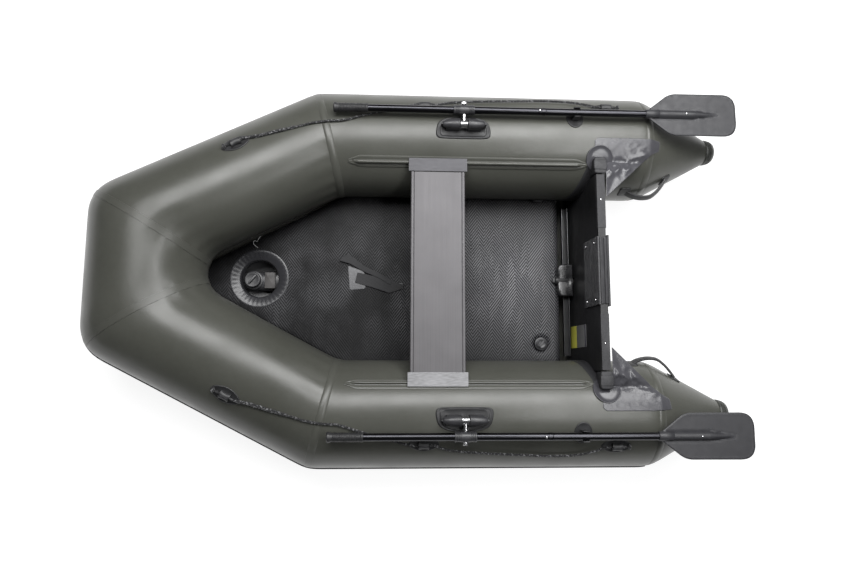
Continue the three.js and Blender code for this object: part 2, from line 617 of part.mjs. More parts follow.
function oarBlade() {
    const neck = SLEEVE.front - 8;
    const corner = BLADE_TIP_X + BLADE_CORNER;
    const plan = new THREE.Shape();
    plan.moveTo(neck, -SLEEVE.r + 1);
    plan.lineTo(neck, SLEEVE.r - 1);
    plan.lineTo(BLADE_SHOULDER_X, BLADE_HALF - 3);
    plan.lineTo(BLADE_SHOULDER_X - 14, BLADE_HALF);
    plan.lineTo(corner, BLADE_HALF);
    plan.quadraticCurveTo(BLADE_TIP_X, BLADE_HALF, BLADE_TIP_X, BLADE_HALF - BLADE_CORNER);
    plan.lineTo(BLADE_TIP_X, BLADE_CORNER - BLADE_HALF);
    plan.quadraticCurveTo(BLADE_TIP_X, -BLADE_HALF, corner, -BLADE_HALF);
    plan.lineTo(BLADE_SHOULDER_X - 14, -BLADE_HALF);
    plan.lineTo(BLADE_SHOULDER_X, -BLADE_HALF + 3);
    const plate = alongZ(plan, BLADE_THICK, 6).translate(0, 0, -BLADE_THICK / 2);
    const spine = rodX(BLADE_TIP_X + 75, SLEEVE.back + 1, 5, 16, SLEEVE.r - 1);
    const sleeve = rodX(SLEEVE.back, SLEEVE.front, SLEEVE.r);
    const socket = rodX(SLEEVE.back + 2, SLEEVE.front + 1, SHAFT_R + GAP);
    return cut(join(plate, spine, sleeve), socket);
}

// A rubber clip on the tube: a round pad and the two prongs that the shaft drops between.
function oarClip() {
    const inside = SHAFT_R + CLIP.play;
    const reach = OAR_Z + CLIP.above;
    const prongs = [-1, 1].map((side) => {
        const near = OAR_Y + side * inside;
        const far = near + side * CLIP.wall;
        return box(CLIP.x - CLIP.width / 2, CLIP.x + CLIP.width / 2,
            Math.min(near, far), Math.max(near, far), OAR_Z - 60, reach);
    });
    const stands = solid(prongs[0]).add(solid(prongs[1])).subtract(TUBE_SPACE);
    const round = new THREE.Shape();
    round.absellipse(0, 0, CLIP.padLength / 2, CLIP.padWidth / 2, 0, Math.PI * 2);
    const pad = patch(round, CLIP.padWidth / 2 + 4).applyMatrix4(sideTube(CLIP.x, CLIP.angle));
    return shape(stands.add(solid(pad)));
}

function addOars() {
    addPair('oarlock_base', oarlockBase(), BLACK_PLASTIC);
    addPair('oarlock_swivel', oarlockSwivel(), STEEL, LOCK_FRAME);
    addPair('oar_collar', oarCollar(), BLACK_PLASTIC, OAR_FRAME);
    addPair('oar_inner_shaft', innerShaft(), BLACK_METAL, OAR_FRAME);
    addPair('oar_outer_shaft', outerShaft(), BLACK_METAL, OAR_FRAME);
    addPair('oar_grip', oarGrip(), BLACK_RUBBER, OAR_FRAME);
    addPair('oar_blade', oarBlade(), BLACK_PLASTIC, OAR_FRAME);
    addPair('oar_button', oarButton(), STEEL, OAR_FRAME);
    addPair('oar_clip', oarClip(), BLACK_RUBBER);
}

// ---------------------------------------------------------------- grab lines and fittings

function ropeEye() {
    const outline = new THREE.Shape();
    outline.absellipse(0, 0, EYE.length / 2, EYE.width / 2, 0, Math.PI * 2);
    const pad = patch(outline, EYE.width / 2);
    const hoop = new THREE.Shape();
    hoop.absarc(0, EYE.height - EYE.hoop, EYE.hoop, 0, Math.PI);
    hoop.lineTo(-EYE.hoop - 3, 1);
    hoop.lineTo(EYE.hoop + 3, 1);
    const tunnel = rodX(-EYE.hoopLength, EYE.hoopLength, EYE.tunnel, 16).translate(0, 0, EYE.lineZ);
    return cut(join(pad, alongX(hoop, EYE.hoopLength)), tunnel);
}

const atEye = ({ leg, along, angle }) => onTube(leg, along, angle);

// The line lies on the tubes' shoulder between the eyes: leg, distance along it, angle, lift.
const ROPE_LAY = ROPE_R + SKIN_GAP + 0.6;
const EYE_LIFT = EYE.lineZ;
const ROPE_ROUTE = [[1, 352, 66, EYE_LIFT], [1, 315, 66, EYE_LIFT], [1, 278, 66.5, EYE_LIFT],
    [1, 235, 70, ROPE_LAY], [1, 170, 74, ROPE_LAY], [1, 100, 78.5, ROPE_LAY],
    [1, 45, 82, ROPE_LAY + 0.5], [0, 1148, 83.5, ROPE_LAY + 1.5], [0, 1095, 82, ROPE_LAY],
    [0, 1030, 76, ROPE_LAY], [0, 960, 70, ROPE_LAY], [0, 905, 65, ROPE_LAY + 1],
    [0, 850, 61, EYE_LIFT], [0, 812, 61, EYE_LIFT], [0, 774, 60.5, EYE_LIFT],
    [0, 725, 54.5, ROPE_LAY], [0, 622, 50.5, ROPE_LAY], [0, 485, 47.5, ROPE_LAY],
    [0, 375, 45.5, ROPE_LAY], [0, 290, 47, ROPE_LAY], [0, 235, 52, ROPE_LAY + 1],
    [0, 195, 57.5, EYE_LIFT], [0, 158, 58, EYE_LIFT], [0, 121, 58, EYE_LIFT]];

function grabLine() {
    const route = new THREE.CatmullRomCurve3(ROPE_ROUTE.map((place) => tubePoint(...place)));
    const section = new THREE.Shape();
    section.absarc(0, 0, ROPE_R, 0, Math.PI * 2);
    const path = { steps: 60, extrudePath: route, curveSegments: 4 };
    return new THREE.ExtrudeGeometry(section, path);
}

// A webbing loop on the tube's inner side, from just behind the transom to a third along the cone.
function sternHandle() {
    const loop = new THREE.Shape();
    loop.moveTo(-776, 316);
    loop.quadraticCurveTo(-800, 300, -850, 300);
    loop.quadraticCurveTo(-900, 304, -926, 368);
    loop.lineTo(-932, 366);
    loop.quadraticCurveTo(-905, 297, -850, 293);
    loop.quadraticCurveTo(-795, 294, -770, 312);
    const band = alongZ(loop, HANDLE.height, 8).translate(0, 0, HANDLE.z - HANDLE.height / 2);
    const low = HANDLE.z - HANDLE.foot;
    const high = HANDLE.z + HANDLE.foot;
    const feet = [box(-790, -755, 305, 328, low, high), box(-946, -914, 354, 392, low, high)];
    return shape(solid(join(band, ...feet)).subtract(TUBE_SPACE));
}

const tubeValve = () => join(rodZ(SKIN_GAP, SKIN_GAP + PATCH, TUBE_VALVE.flange),
    rodZ(PATCH, TUBE_VALVE.height, TUBE_VALVE.capR));

function addFittings() {
    for (const [place, eye] of Object.entries(EYES)) {
        addPair(`${place}_rope_eye`, ropeEye(), BLACK_RUBBER, atEye(eye));
    }
    addPair('grab_line', grabLine(), ROPE);
    addPair('stern_handle', sternHandle(), BLACK_RUBBER);
    const onSide = sideTube(TUBE_VALVE.x, TUBE_VALVE.angle);
    addPair('tube_valve', tubeValve(), BLACK_PLASTIC, onSide);
    const below = rad(BOW_VALVE_ANGLE);
    const inward = new THREE.Matrix4().makeRotationY(-Math.PI / 2 - below);
    inward.setPosition(NOSE_X - TUBE_R * Math.cos(below), 0, TUBE_R + BOW_RISE - TUBE_R * Math.sin(below));
    add('bow_tube_valve', tubeValve(), BLACK_PLASTIC, inward);
    add('floor_strap', floorStrap(), BLACK_DECK);
}

addTubes();
addPair('cone_cap', coneCap(), BLACK_RUBBER, placeAt(STERN_X, TUBE_Y, TUBE_R));
add('rubbing_strake', strake(), BLACK_RUBBER);
addBottom();
addTransom();
addDrain();
addSeat();
addOars();
addFittings();

export default boat;
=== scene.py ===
"""The looks of an inflatable tender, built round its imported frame.

Metres. +X points to the bow, +Y to port, +Z up, and the origin is on the ground amidships.
Port pieces are shaped here, and starboard ones are their mirror. Small mouldings are shaped in
millimetres, and metres() turns them to metres.
"""

from math import acos, cos, degrees, exp, pi, radians, sin, tan

import bmesh
import bpy
import numpy as np
from mathutils import Matrix, Vector, geometry, noise


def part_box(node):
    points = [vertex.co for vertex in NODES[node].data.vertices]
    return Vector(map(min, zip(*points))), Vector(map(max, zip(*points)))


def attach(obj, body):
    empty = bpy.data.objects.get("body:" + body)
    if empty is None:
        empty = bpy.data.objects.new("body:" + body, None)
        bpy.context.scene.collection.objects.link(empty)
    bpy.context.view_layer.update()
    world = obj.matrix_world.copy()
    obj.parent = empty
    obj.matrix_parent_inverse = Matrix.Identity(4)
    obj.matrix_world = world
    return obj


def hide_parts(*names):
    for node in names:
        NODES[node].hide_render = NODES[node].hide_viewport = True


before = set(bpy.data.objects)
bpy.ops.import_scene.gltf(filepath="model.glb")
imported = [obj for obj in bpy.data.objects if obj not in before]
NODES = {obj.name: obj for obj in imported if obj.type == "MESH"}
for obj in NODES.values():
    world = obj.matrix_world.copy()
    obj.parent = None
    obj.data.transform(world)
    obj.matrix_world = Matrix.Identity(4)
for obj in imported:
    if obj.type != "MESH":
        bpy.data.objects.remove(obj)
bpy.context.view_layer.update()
MM = 0.001
SIDES = (("port", 1), ("starboard", -1))

# ---------------------------------------------------------------- places, from the frame

SIDE_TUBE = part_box("port_side_tube")
BOW_SIDE_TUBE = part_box("port_bow_tube")
BOW_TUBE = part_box("bow_tube")
TUBE_R = (SIDE_TUBE[1].y - SIDE_TUBE[0].y) / 2
TUBE_Y = (SIDE_TUBE[1].y + SIDE_TUBE[0].y) / 2
BEND_X = (SIDE_TUBE[1].x + BOW_SIDE_TUBE[0].x) / 2
NOSE_X = BOW_TUBE[1].x - TUBE_R
NOSE_Y = (BOW_TUBE[1].y + BOW_SIDE_TUBE[0].y) / 2
NOSE_Z = BOW_TUBE[1].z - TUBE_R
CONE_LENGTH = 269 * MM
STERN_X = SIDE_TUBE[0].x + CONE_LENGTH
CONE_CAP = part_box("port_cone_cap")
CONE_END_R = (CONE_CAP[1].y - CONE_CAP[0].y) / 2 - 2 * MM

AXIS = [Vector((STERN_X, TUBE_Y, TUBE_R)), Vector((BEND_X, TUBE_Y, TUBE_R)),
        Vector((NOSE_X, NOSE_Y, NOSE_Z)), Vector((NOSE_X, -NOSE_Y, NOSE_Z)),
        Vector((BEND_X, -TUBE_Y, TUBE_R)), Vector((STERN_X, -TUBE_Y, TUBE_R))]
LEG_COUNT = len(AXIS) - 1
BEND, NOSE = 2, 3  # which crossings of the hull's lines these are, counted from the port cone's end


def direction(leg):
    return (AXIS[leg + 1] - AXIS[leg]).normalized()


def on_tube(leg, along, angle, lift=0.0):
    """A frame on a port tube: X along it to the bow, Z out of it. Angle 0 is outboard and 90 on top."""
    forward = direction(leg)
    outboard = Vector((0, 0, 1)).cross(forward).normalized()
    up = forward.cross(outboard)
    out = outboard * cos(radians(angle)) + up * sin(radians(angle))
    place = AXIS[leg] + forward * along + out * (TUBE_R + lift)
    turn = Matrix((forward, out.cross(forward), out)).transposed().to_4x4()
    return Matrix.Translation(place) @ turn


def on_side(x, angle, lift=0.0):
    return on_tube(0, x - STERN_X, angle, lift)


# ---------------------------------------------------------------- mesh tools: a part is (points, faces)

def loft(rings, wrap=False):
    """A skin through rings of the same number of points: capped, or with the last joined to the first."""
    rings = np.array([[tuple(p) for p in ring] for ring in rings], float)
    rows, sides = rings.shape[:2]
    faces = []
    for i in range(rows if wrap else rows - 1):
        for j in range(sides):
            k, n = (i + 1) % rows, (j + 1) % sides
            faces.append((i * sides + j, i * sides + n, k * sides + n, k * sides + j))
    if not wrap:
        faces.append(tuple(range(sides))[::-1])
        faces.append(tuple((rows - 1) * sides + j for j in range(sides)))
    return rings.reshape(-1, 3), faces


def joined(*parts):
    """Several parts as one."""
    points, faces = [], []
    for part_points, part_faces in parts:
        start = sum(len(p) for p in points)
        points.append(np.asarray(part_points, float))
        faces += [tuple(i + start for i in face) for face in part_faces]
    return np.concatenate(points), faces


def placed(part, matrix):
    m = np.array(matrix)
    return np.asarray(part[0], float) @ m[:3, :3].T + m[:3, 3], part[1]


def shifted(part, x, y=0.0, z=0.0):
    return np.asarray(part[0], float) + (x, y, z), part[1]


def mirrored(part):
    """A port part as its starboard mirror."""
    return np.asarray(part[0], float) * (1, -1, 1), [face[::-1] for face in part[1]]


def metres(part):
    """A part that was shaped in millimetres."""
    return np.asarray(part[0], float) * MM, part[1]


def box_mm(node):
    """The two corners of a node's box, in millimetres."""
    return [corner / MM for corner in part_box(node)]


def around(count):
    """Evenly spaced angles round a circle."""
    return np.linspace(0, 2 * pi, count, endpoint=False)


def ellipse(length, width, steps):
    return [(length / 2 * cos(a), width / 2 * sin(a)) for a in around(steps)]


def lathe(profile, sides, axis="Z"):
    """A profile of (radius, place along the axis) turned round X, Y or Z."""
    rings = []
    for radius, along in profile:
        circle = ellipse(2 * radius, 2 * radius, sides)
        rings.append([{"X": (along, u, v), "Y": (v, along, u), "Z": (u, v, along)}[axis] for u, v in circle])
    return loft(rings)


def both_ways(half, middle=()):
    """A line that is its own mirror image in Y: one half, the points on the middle, and the other half."""
    return [*half, *middle, *[(-x, y) for x, y in half[::-1]]]


def there_and_back(half):
    """A turned profile that is the same at both ends: its first half, and then its mirror."""
    return [*half, *[(radius, -along) for radius, along in half[::-1]]]


def arc(x, y, radius, start, end, steps):
    """Points on an arc; the angles are in degrees."""
    turns = [radians(start + (end - start) * k / steps) for k in range(steps + 1)]
    return [(x + radius * cos(t), y + radius * sin(t)) for t in turns]


def rounded(corners, radius, steps=6):
    """A closed outline through these corners, each rounded; radius may be one number or one for each."""
    count = len(corners)
    radii = [radius] * count if isinstance(radius, (int, float)) else radius
    outline = []
    for k in range(count):
        here, before, after = (np.array(corners[i % count], float) for i in (k, k - 1, k + 1))
        to_before, to_after = before - here, after - here
        room = min(np.linalg.norm(to_before), np.linalg.norm(to_after)) / 2
        reach = min(radii[k], room)
        if reach < 1e-6:
            outline.append(tuple(here))
            continue
        start = here + to_before / np.linalg.norm(to_before) * reach
        end = here + to_after / np.linalg.norm(to_after) * reach
        for t in np.linspace(0, 1, steps + 1):
            outline.append(tuple((1 - t) ** 2 * start + 2 * t * (1 - t) * here + t * t * end))
    return outline


def oblong(length, width, radius, steps=6):
    x, y = length / 2, width / 2
    return rounded([(x, y), (-x, y), (-x, -y), (x, -y)], radius, steps)


def prism(outline, z0, z1, edge=0.0):
    """An outline raised from z0 to z1, with its long edges rounded by `edge`."""
    flat = np.array(outline, float)
    centre = flat.mean(0)
    spread = np.abs(flat - centre).max()

    def ring(inset, z):
        scale = 1 - inset / spread
        return [(*(centre + (p - centre) * scale), z) for p in flat]

    turns = np.linspace(0, pi / 2, 4)
    low = [ring(edge * (1 - sin(t)), z0 + edge * (1 - cos(t))) for t in turns]
    high = [ring(edge * (1 - cos(t)), z1 - edge * (1 - sin(t))) for t in turns]
    return loft(low + high if edge else [ring(0, z0), ring(0, z1)])


def block(lo, hi, edge):
    """A box between two corners with its upright and level edges rounded."""
    lo, hi = Vector(lo), Vector(hi)
    size, middle = hi - lo, (lo + hi) / 2
    outline = oblong(size.x, size.y, edge * 2, 4)
    return shifted(prism(outline, lo.z, hi.z, edge), middle.x, middle.y)


def along_x(part):
    """Turns a part built up along Z to lie along X, with its X across to port and its Y upwards."""
    return placed(part, Matrix(((0, 0, 1, 0), (1, 0, 0, 0), (0, 1, 0, 0), (0, 0, 0, 1))))


def along_y(part):
    """Turns a part built up along Z to lie along Y, with its Y upwards and its X kept."""
    return placed(part, Matrix(((1, 0, 0, 0), (0, 0, 1, 0), (0, 1, 0, 0), (0, 0, 0, 1))))


def smooth_path(points, spacing):
    """A Catmull-Rom curve through the points, cut into equal steps."""
    points = [np.array(p, float) for p in points]
    ends = [2 * points[0] - points[1], *points, 2 * points[-1] - points[-2]]
    fine = []
    for a, b, c, d in zip(ends, ends[1:], ends[2:], ends[3:]):
        for t in np.linspace(0, 1, 24, endpoint=False):
            fine.append(0.5 * (2 * b + (c - a) * t + (2 * a - 5 * b + 4 * c - d) * t ** 2
                               + (3 * b - a - 3 * c + d) * t ** 3))
    fine.append(points[-1])
    fine = np.array(fine)
    lengths = np.concatenate([[0], np.cumsum(np.linalg.norm(np.diff(fine, axis=0), axis=1))])
    at = np.linspace(0, lengths[-1], max(3, int(round(lengths[-1] / spacing)) + 1))
    return np.stack([np.interp(at, lengths, fine[:, k]) for k in range(3)], axis=1)


def sweep(path, ring_at):
    """Rings along a path. ring_at(row, share of the length) gives a ring's (across, up) points."""
    path = np.asarray(path, float)
    tangents = np.gradient(path, axis=0)
    tangents /= np.linalg.norm(tangents, axis=1)[:, None]
    up = np.array((0.0, 0.0, 1.0))
    if abs(tangents[0] @ up) > 0.9:
        up = np.array((0.0, 1.0, 0.0))
    rings = []
    for row, (place, tangent) in enumerate(zip(path, tangents)):
        up = up - tangent * (up @ tangent)
        up /= np.linalg.norm(up)
        across = np.cross(up, tangent)
        ring = ring_at(row, row / (len(path) - 1))
        rings.append([place + across * u + up * v for u, v in ring])
    return loft(rings)


def rod(path, radius, sides):
    return sweep(path, lambda row, share: ellipse(2 * radius, 2 * radius, sides))


def edge_distance(points, loops):
    """How far each flat point is from the nearest side of the closed loops."""
    best = np.full(len(points), np.inf)
    for loop in loops:
        loop = np.array(loop, float)
        for a, b in zip(loop, np.roll(loop, -1, axis=0)):
            side = b - a
            t = np.clip(((points - a) @ side) / max(side @ side, 1e-15), 0, 1)
            best = np.minimum(best, np.linalg.norm(points - a - t[:, None] * side, axis=1))
    return best


def inside(points, loop):
    """Which flat points lie within a closed loop."""
    loop = np.array(loop, float)
    within = np.zeros(len(points), bool)
    for a, b in zip(loop, np.roll(loop, -1, axis=0)):
        crosses = (a[1] > points[:, 1]) != (b[1] > points[:, 1])
        height = b[1] - a[1] if abs(b[1] - a[1]) > 1e-15 else 1e-15
        at = a[0] + (points[:, 1] - a[1]) * (b[0] - a[0]) / height
        within ^= crosses & (points[:, 0] < at)
    return within


def finely(loop, spacing):
    """The closed loop again, with its long sides divided."""
    out = []
    for a, b in zip(loop, [*loop[1:], loop[0]]):
        a, b = np.array(a, float), np.array(b, float)
        steps = max(1, int(np.linalg.norm(b - a) / spacing))
        out += [tuple(a + (b - a) * k / steps) for k in range(steps)]
    return out


def inset_loop(loop, inset):
    loop = np.array(loop, float)
    side = np.roll(loop, -1, axis=0) - np.roll(loop, 1, axis=0)
    side /= np.maximum(np.linalg.norm(side, axis=1), 1e-12)[:, None]
    return loop + np.stack([-side[:, 1], side[:, 0]], axis=1) * inset


def filled(outline, holes, spacing, insets):
    """Triangles that fill an outline: flat points, faces and each point's distance from the edge.

    Rows of points run along the edge at each of the insets, and a square field fills the rest.
    """
    loops = [finely(loop, spacing) for loop in (outline, *holes)]
    points, edges = [], []
    for loop in loops:
        start, count = len(points), len(loop)
        points += loop
        edges += [(start + k, start + (k + 1) % count) for k in range(count)]
    offset = [inset_loop(loop, way * inset) for inset in insets for loop in loops for way in (1, -1)]
    flat = np.array(points)
    lo, hi = flat.min(0), flat.max(0)
    xs = np.arange(lo[0] + spacing / 2, hi[0], spacing)
    ys = np.arange(lo[1] + spacing / 2, hi[1], spacing)
    field = np.stack(np.meshgrid(xs, ys), axis=-1).reshape(-1, 2)
    field = field[edge_distance(field, loops) > max([0.5 * spacing, *[i * 1.15 for i in insets]])]
    extra = np.concatenate([*offset, field])
    keep = inside(extra, loops[0]) & (edge_distance(extra, loops) > min(insets) * 0.6)
    for hole in loops[1:]:
        keep &= ~inside(extra, hole)
    points += [tuple(p) for p in extra[keep]]
    flat, _, faces, *_ = geometry.delaunay_2d_cdt([Vector(p) for p in points], edges, [], 1, 1e-7)
    flat = np.array([tuple(p) for p in flat])
    middles = np.array([flat[list(face)].mean(0) for face in faces])
    good = inside(middles, loops[0])
    for hole in loops[1:]:
        good &= ~inside(middles, hole)
    return flat, [tuple(face) for face, ok in zip(faces, good) if ok], edge_distance(flat, loops)


def slab(flat, faces, top, bottom):
    """A solid between two height fields over the same flat triangles."""
    count = len(flat)
    points = np.concatenate([np.column_stack([flat, top]), np.column_stack([flat, bottom])])
    solid = list(faces) + [tuple(i + count for i in face[::-1]) for face in faces]
    used = {}
    for face in faces:
        for a, b in zip(face, face[1:] + face[:1]):
            used[(a, b)] = True
    solid += [(b, a, a + count, b + count) for a, b in used if (b, a) not in used]
    return points, solid


def round_edge(distance, radius):
    """How far a surface drops near its edge, for an edge with that radius."""
    gone = np.clip(radius - distance, 0, radius)
    return radius - np.sqrt(np.maximum(radius ** 2 - gone ** 2, 0))


def moulded(outline, profile, bend=TUBE_R):
    """A pad wrapped over a tube, from an outline and (share of it, height) rings in millimetres."""
    flat = np.array(outline, float) * MM
    rings = []
    for share, height in profile:
        reach = bend + height * MM
        rings.append([(x, reach * sin(y / bend), reach * cos(y / bend) - bend) for x, y in flat * share])
    return loft(rings)


def bent(part):
    """A flat part wrapped over a tube that runs along X, with its skin on the part's underside."""
    points = np.asarray(part[0], float).copy()
    a, reach = points[:, 1] / TUBE_R, TUBE_R + points[:, 2]
    points[:, 1], points[:, 2] = reach * np.sin(a), reach * np.cos(a) - TUBE_R
    return points, part[1]


# ---------------------------------------------------------------- pieces

def bevelled(thing, width):
    """Rounds an object's sharp edges by this many millimetres."""
    modifier = thing.modifiers.new("edges", "BEVEL")
    modifier.width, modifier.segments, modifier.limit_method = width * MM, 2, "ANGLE"
    return modifier


def piece(name, part, look, slot, body="hull", replaces=None, sharp=38, bevel=0):
    """Makes one object of a part, and gives it its material, its body and the node it replaces. Its slot is
    not used.
    """
    mesh = bpy.data.meshes.new(name)
    build = bmesh.new()
    corners = [build.verts.new(tuple(p)) for p in part[0]]
    for face in part[1]:
        loop = [corners[i] for i in face]
        try:
            build.faces.new(loop)
        except ValueError:
            continue
    bmesh.ops.remove_doubles(build, verts=build.verts, dist=0.02 * MM)
    loose = [v for v in build.verts if not v.link_faces]
    bmesh.ops.delete(build, geom=loose, context="VERTS")
    bmesh.ops.recalc_face_normals(build, faces=build.faces)
    build.to_mesh(mesh)
    build.free()
    mesh.shade_smooth()
    mesh.set_sharp_from_angle(angle=radians(sharp))
    mesh.materials.append(look)
    thing = bpy.data.objects.new(name, mesh)
    bpy.context.scene.collection.objects.link(thing)
    if bevel:
        bevelled(thing, bevel)
    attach(thing, body)
    if replaces:
        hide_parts(replaces)
    return thing


def pair(name, part, look, slot, body="hull", replaces="", **more):
    """The port piece and its mirror. {} in a body's or node's name stands for the side's name."""
    things = []
    for side, sign in SIDES:
        shape = part if sign > 0 else mirrored(part)
        things.append(piece(f"{side}_{name}", shape, look, slot, body.format(side), replaces.format(side),
                            **more))
    return things


def dress(node, look, bevel):
    """A CAD node keeps its shape and gets a material and, where it has sharp edges, a small bevel."""
    thing = NODES[node]
    thing.data.materials.clear()
    thing.data.materials.append(look)
    bevelled(thing, bevel).angle_limit = radians(40)


# ---------------------------------------------------------------- materials

class Look:
    """A material whose colour, roughness and relief come from procedural textures."""

    def __init__(self, name, **sockets):
        self.material = bpy.data.materials.new(name)
        self.material.use_nodes = True
        self.tree = self.material.node_tree
        self.shader = self.tree.nodes["Principled BSDF"]
        for socket, value in sockets.items():
            self.shader.inputs[socket.replace("_", " ")].default_value = value
        self.coords = self.tree.nodes.new("ShaderNodeTexCoord").outputs["Object"]
        self.relief = None

    def node(self, kind, *values, output=0, **settings):
        """A node with its inputs set in order: a number, a vector, another node's socket or None."""
        made = self.tree.nodes.new(kind)
        for key, value in settings.items():
            setattr(made, key, value)
        for socket, value in zip(made.inputs, values):
            if isinstance(value, bpy.types.NodeSocket):
                self.tree.links.new(value, socket)
            elif value is not None:
                socket.default_value = value
        return made.outputs[output]

    def stretched(self, x, y, z):
        mapped = self.tree.nodes.new("ShaderNodeMapping")
        mapped.inputs["Scale"].default_value = (x, y, z)
        self.tree.links.new(self.coords, mapped.inputs["Vector"])
        return mapped.outputs[0]

    def noise(self, scale, detail=3.0, where=None):
        made = self.tree.nodes.new("ShaderNodeTexNoise")
        made.inputs["Scale"].default_value, made.inputs["Detail"].default_value = scale, detail
        self.tree.links.new(where or self.coords, made.inputs["Vector"])
        return made.outputs["Fac"]

    def cells(self, scale):
        made = self.tree.nodes.new("ShaderNodeTexVoronoi")
        made.inputs["Scale"].default_value = scale
        self.tree.links.new(self.coords, made.inputs["Vector"])
        return made.outputs["Distance"]

    def bands(self, period, along):
        """A sine wave along a direction, from 0 to 1, one wave in each period of this many millimetres."""
        turned = self.node("ShaderNodeVectorMath", self.coords, along, output="Value",
                           operation="DOT_PRODUCT")
        wave = self.math("SINE", self.math("MULTIPLY", turned, 2 * pi / (period * MM)))
        return self.math("MULTIPLY_ADD", wave, 0.5, 0.5)

    def math(self, operation, *values):
        return self.node("ShaderNodeMath", *values, operation=operation)

    def spread(self, value, low, high, to_low, to_high):
        """A value from low to high, moved to the range from to_low to to_high."""
        return self.node("ShaderNodeMapRange", value, low, high, to_low, to_high)

    def mixed(self, share, one, other):
        made = self.tree.nodes.new("ShaderNodeMix")
        made.data_type = "RGBA"
        self.tree.links.new(share, made.inputs["Factor"])
        inputs = [s for s in made.inputs if s.type == "RGBA"]
        for socket, value in zip(inputs, (one, other)):
            if isinstance(value, bpy.types.NodeSocket):
                self.tree.links.new(value, socket)
            else:
                socket.default_value = (*value, 1)
        return next(s for s in made.outputs if s.type == "RGBA")

    def color(self, share, dark, light):
        self.tree.links.new(self.mixed(share, dark, light), self.shader.inputs["Base Color"])

    def shades(self, tone, low, high, dark, light):
        """Colours from dark to light, as a tone goes from low to high."""
        self.color(self.spread(tone, low, high, 0, 1), dark, light)

    def rough(self, socket):
        self.tree.links.new(socket, self.shader.inputs["Roughness"])

    def gloss(self, tone, low, high):
        """Roughness from low to high over the middle of a noise."""
        self.rough(self.spread(tone, 0.3, 0.7, low, high))

    def bump(self, height, depth, strength):
        """Relief of this depth in millimetres, on top of any relief the material already has."""
        made = self.tree.nodes.new("ShaderNodeBump")
        made.inputs["Strength"].default_value = strength
        made.inputs["Distance"].default_value = depth * MM
        self.tree.links.new(height, made.inputs["Height"])
        if self.relief is not None:
            self.tree.links.new(self.relief, made.inputs["Normal"])
        self.relief = made.outputs["Normal"]
        self.tree.links.new(self.relief, self.shader.inputs["Normal"])


def coated_cloth(name, dark, light, roughness):
    """PVC-coated fabric: a faint leather grain over the base cloth, cloudy gloss and handling marks."""
    look = Look(name, Specular_IOR_Level=0.42)
    cloudy = look.noise(3.0, 4)
    fine = look.noise(60.0, 3)
    look.shades(look.math("MULTIPLY_ADD", fine, 0.3, cloudy), 0.4, 0.95, dark, light)
    look.gloss(look.noise(9.0, 5), roughness - 0.05, roughness + 0.06)
    look.bump(look.cells(650.0), 0.12, 0.5)
    look.bump(look.noise(14.0, 2), 0.5, 0.25)
    return look.material


def deck_cloth():
    """Black deck cloth: a fine herringbone relief that catches the light, and a painted sheen on the weave's
    tips, cloudy and brighter towards the stern, that fades towards the sides.
    """
    look = Look("deck_cloth", Specular_IOR_Level=0.20)
    slant, other = look.bands(8, (0.80, 0.60, 0)), look.bands(8, (0.80, -0.60, 0))
    column = look.spread(look.noise(1.0, 2, look.stretched(34, 5, 1)), 0.46, 0.54, 0, 1)
    weave = look.math("ADD", look.math("MULTIPLY", slant, column),
                      look.math("MULTIPLY", other, look.math("SUBTRACT", 1.0, column)))
    tips = look.spread(weave, 0.35, 0.9, 0, 1)
    along = look.node("ShaderNodeSeparateXYZ", look.coords)
    across = look.node("ShaderNodeSeparateXYZ", look.coords, output=1)
    # Painted sheen: the weave's tips are coloured lighter towards the stern and in the middle, standing in
    # for the overhead lamp's reflection. The sheen fades to a third at the deck's sides, which is painted
    # shade there. The same mask also lowers the roughness aft.
    middle = look.spread(look.math("ABSOLUTE", across), 0.10, 0.30, 1, 0.35)
    aft_sheen = look.math("MULTIPLY_ADD", look.spread(look.noise(6.5, 5), 0.42, 0.66, 0, 1), 0.34,
                        look.spread(along, 0.12, -0.36, 0.0, 0.75))
    aft_sheen = look.math("MULTIPLY", aft_sheen, middle)
    sheen_on_tips = look.math("MULTIPLY", tips, aft_sheen)
    look.color(sheen_on_tips, (0.0035, 0.0035, 0.004), (0.120, 0.120, 0.130))
    look.rough(look.math("MULTIPLY_ADD", aft_sheen, -0.30, look.spread(tips, 0, 1, 0.62, 0.54)))
    look.bump(weave, 0.8, 0.8)
    look.bump(look.cells(900.0), 0.15, 0.5)
    return look.material


def moulded_plastic(name, color, roughness, grain=0.08, uneven=1.55):
    """Moulded plastic or rubber: fine spark-eroded grain and a little unevenness."""
    look = Look(name, Specular_IOR_Level=0.5)
    lighter = tuple(c * uneven + 0.004 for c in color)
    look.shades(look.noise(35.0, 5), 0.35, 0.75, color, lighter)
    look.gloss(look.noise(50.0, 4), roughness - 0.07, roughness + 0.08)
    look.bump(look.noise(1500.0, 2), grain, 0.5)
    return look.material


def brushed(name, dark, light, roughness, stretch, metallic=1.0):
    """Brushed or drawn metal: streaks along one direction, and faint stains."""
    look = Look(name, Metallic=metallic)
    where = look.stretched(*stretch)
    streaks = look.noise(1.0, 6, where)
    stains = look.noise(11.0, 5)
    tone = look.math("MULTIPLY_ADD", stains, 0.35, look.math("MULTIPLY", streaks, 0.75))
    look.shades(tone, 0.32, 0.78, dark, light)
    look.gloss(streaks, roughness - 0.06, roughness + 0.08)
    look.bump(streaks, 0.05, 0.6)
    return look.material


def webbing_cloth(name, color):
    """Woven strap: ribs along it and small picks across."""
    look = Look(name, Roughness=0.75, Sheen_Weight=0.15)
    ribs, picks = look.bands(3.2, (0.5, 0.86, 0)), look.bands(2.0, (0.86, -0.5, 0))
    weave = look.math("MULTIPLY", ribs, picks)
    look.color(weave, color, tuple(c * 2.2 + 0.01 for c in color))
    look.bump(weave, 0.5, 0.7)
    return look.material


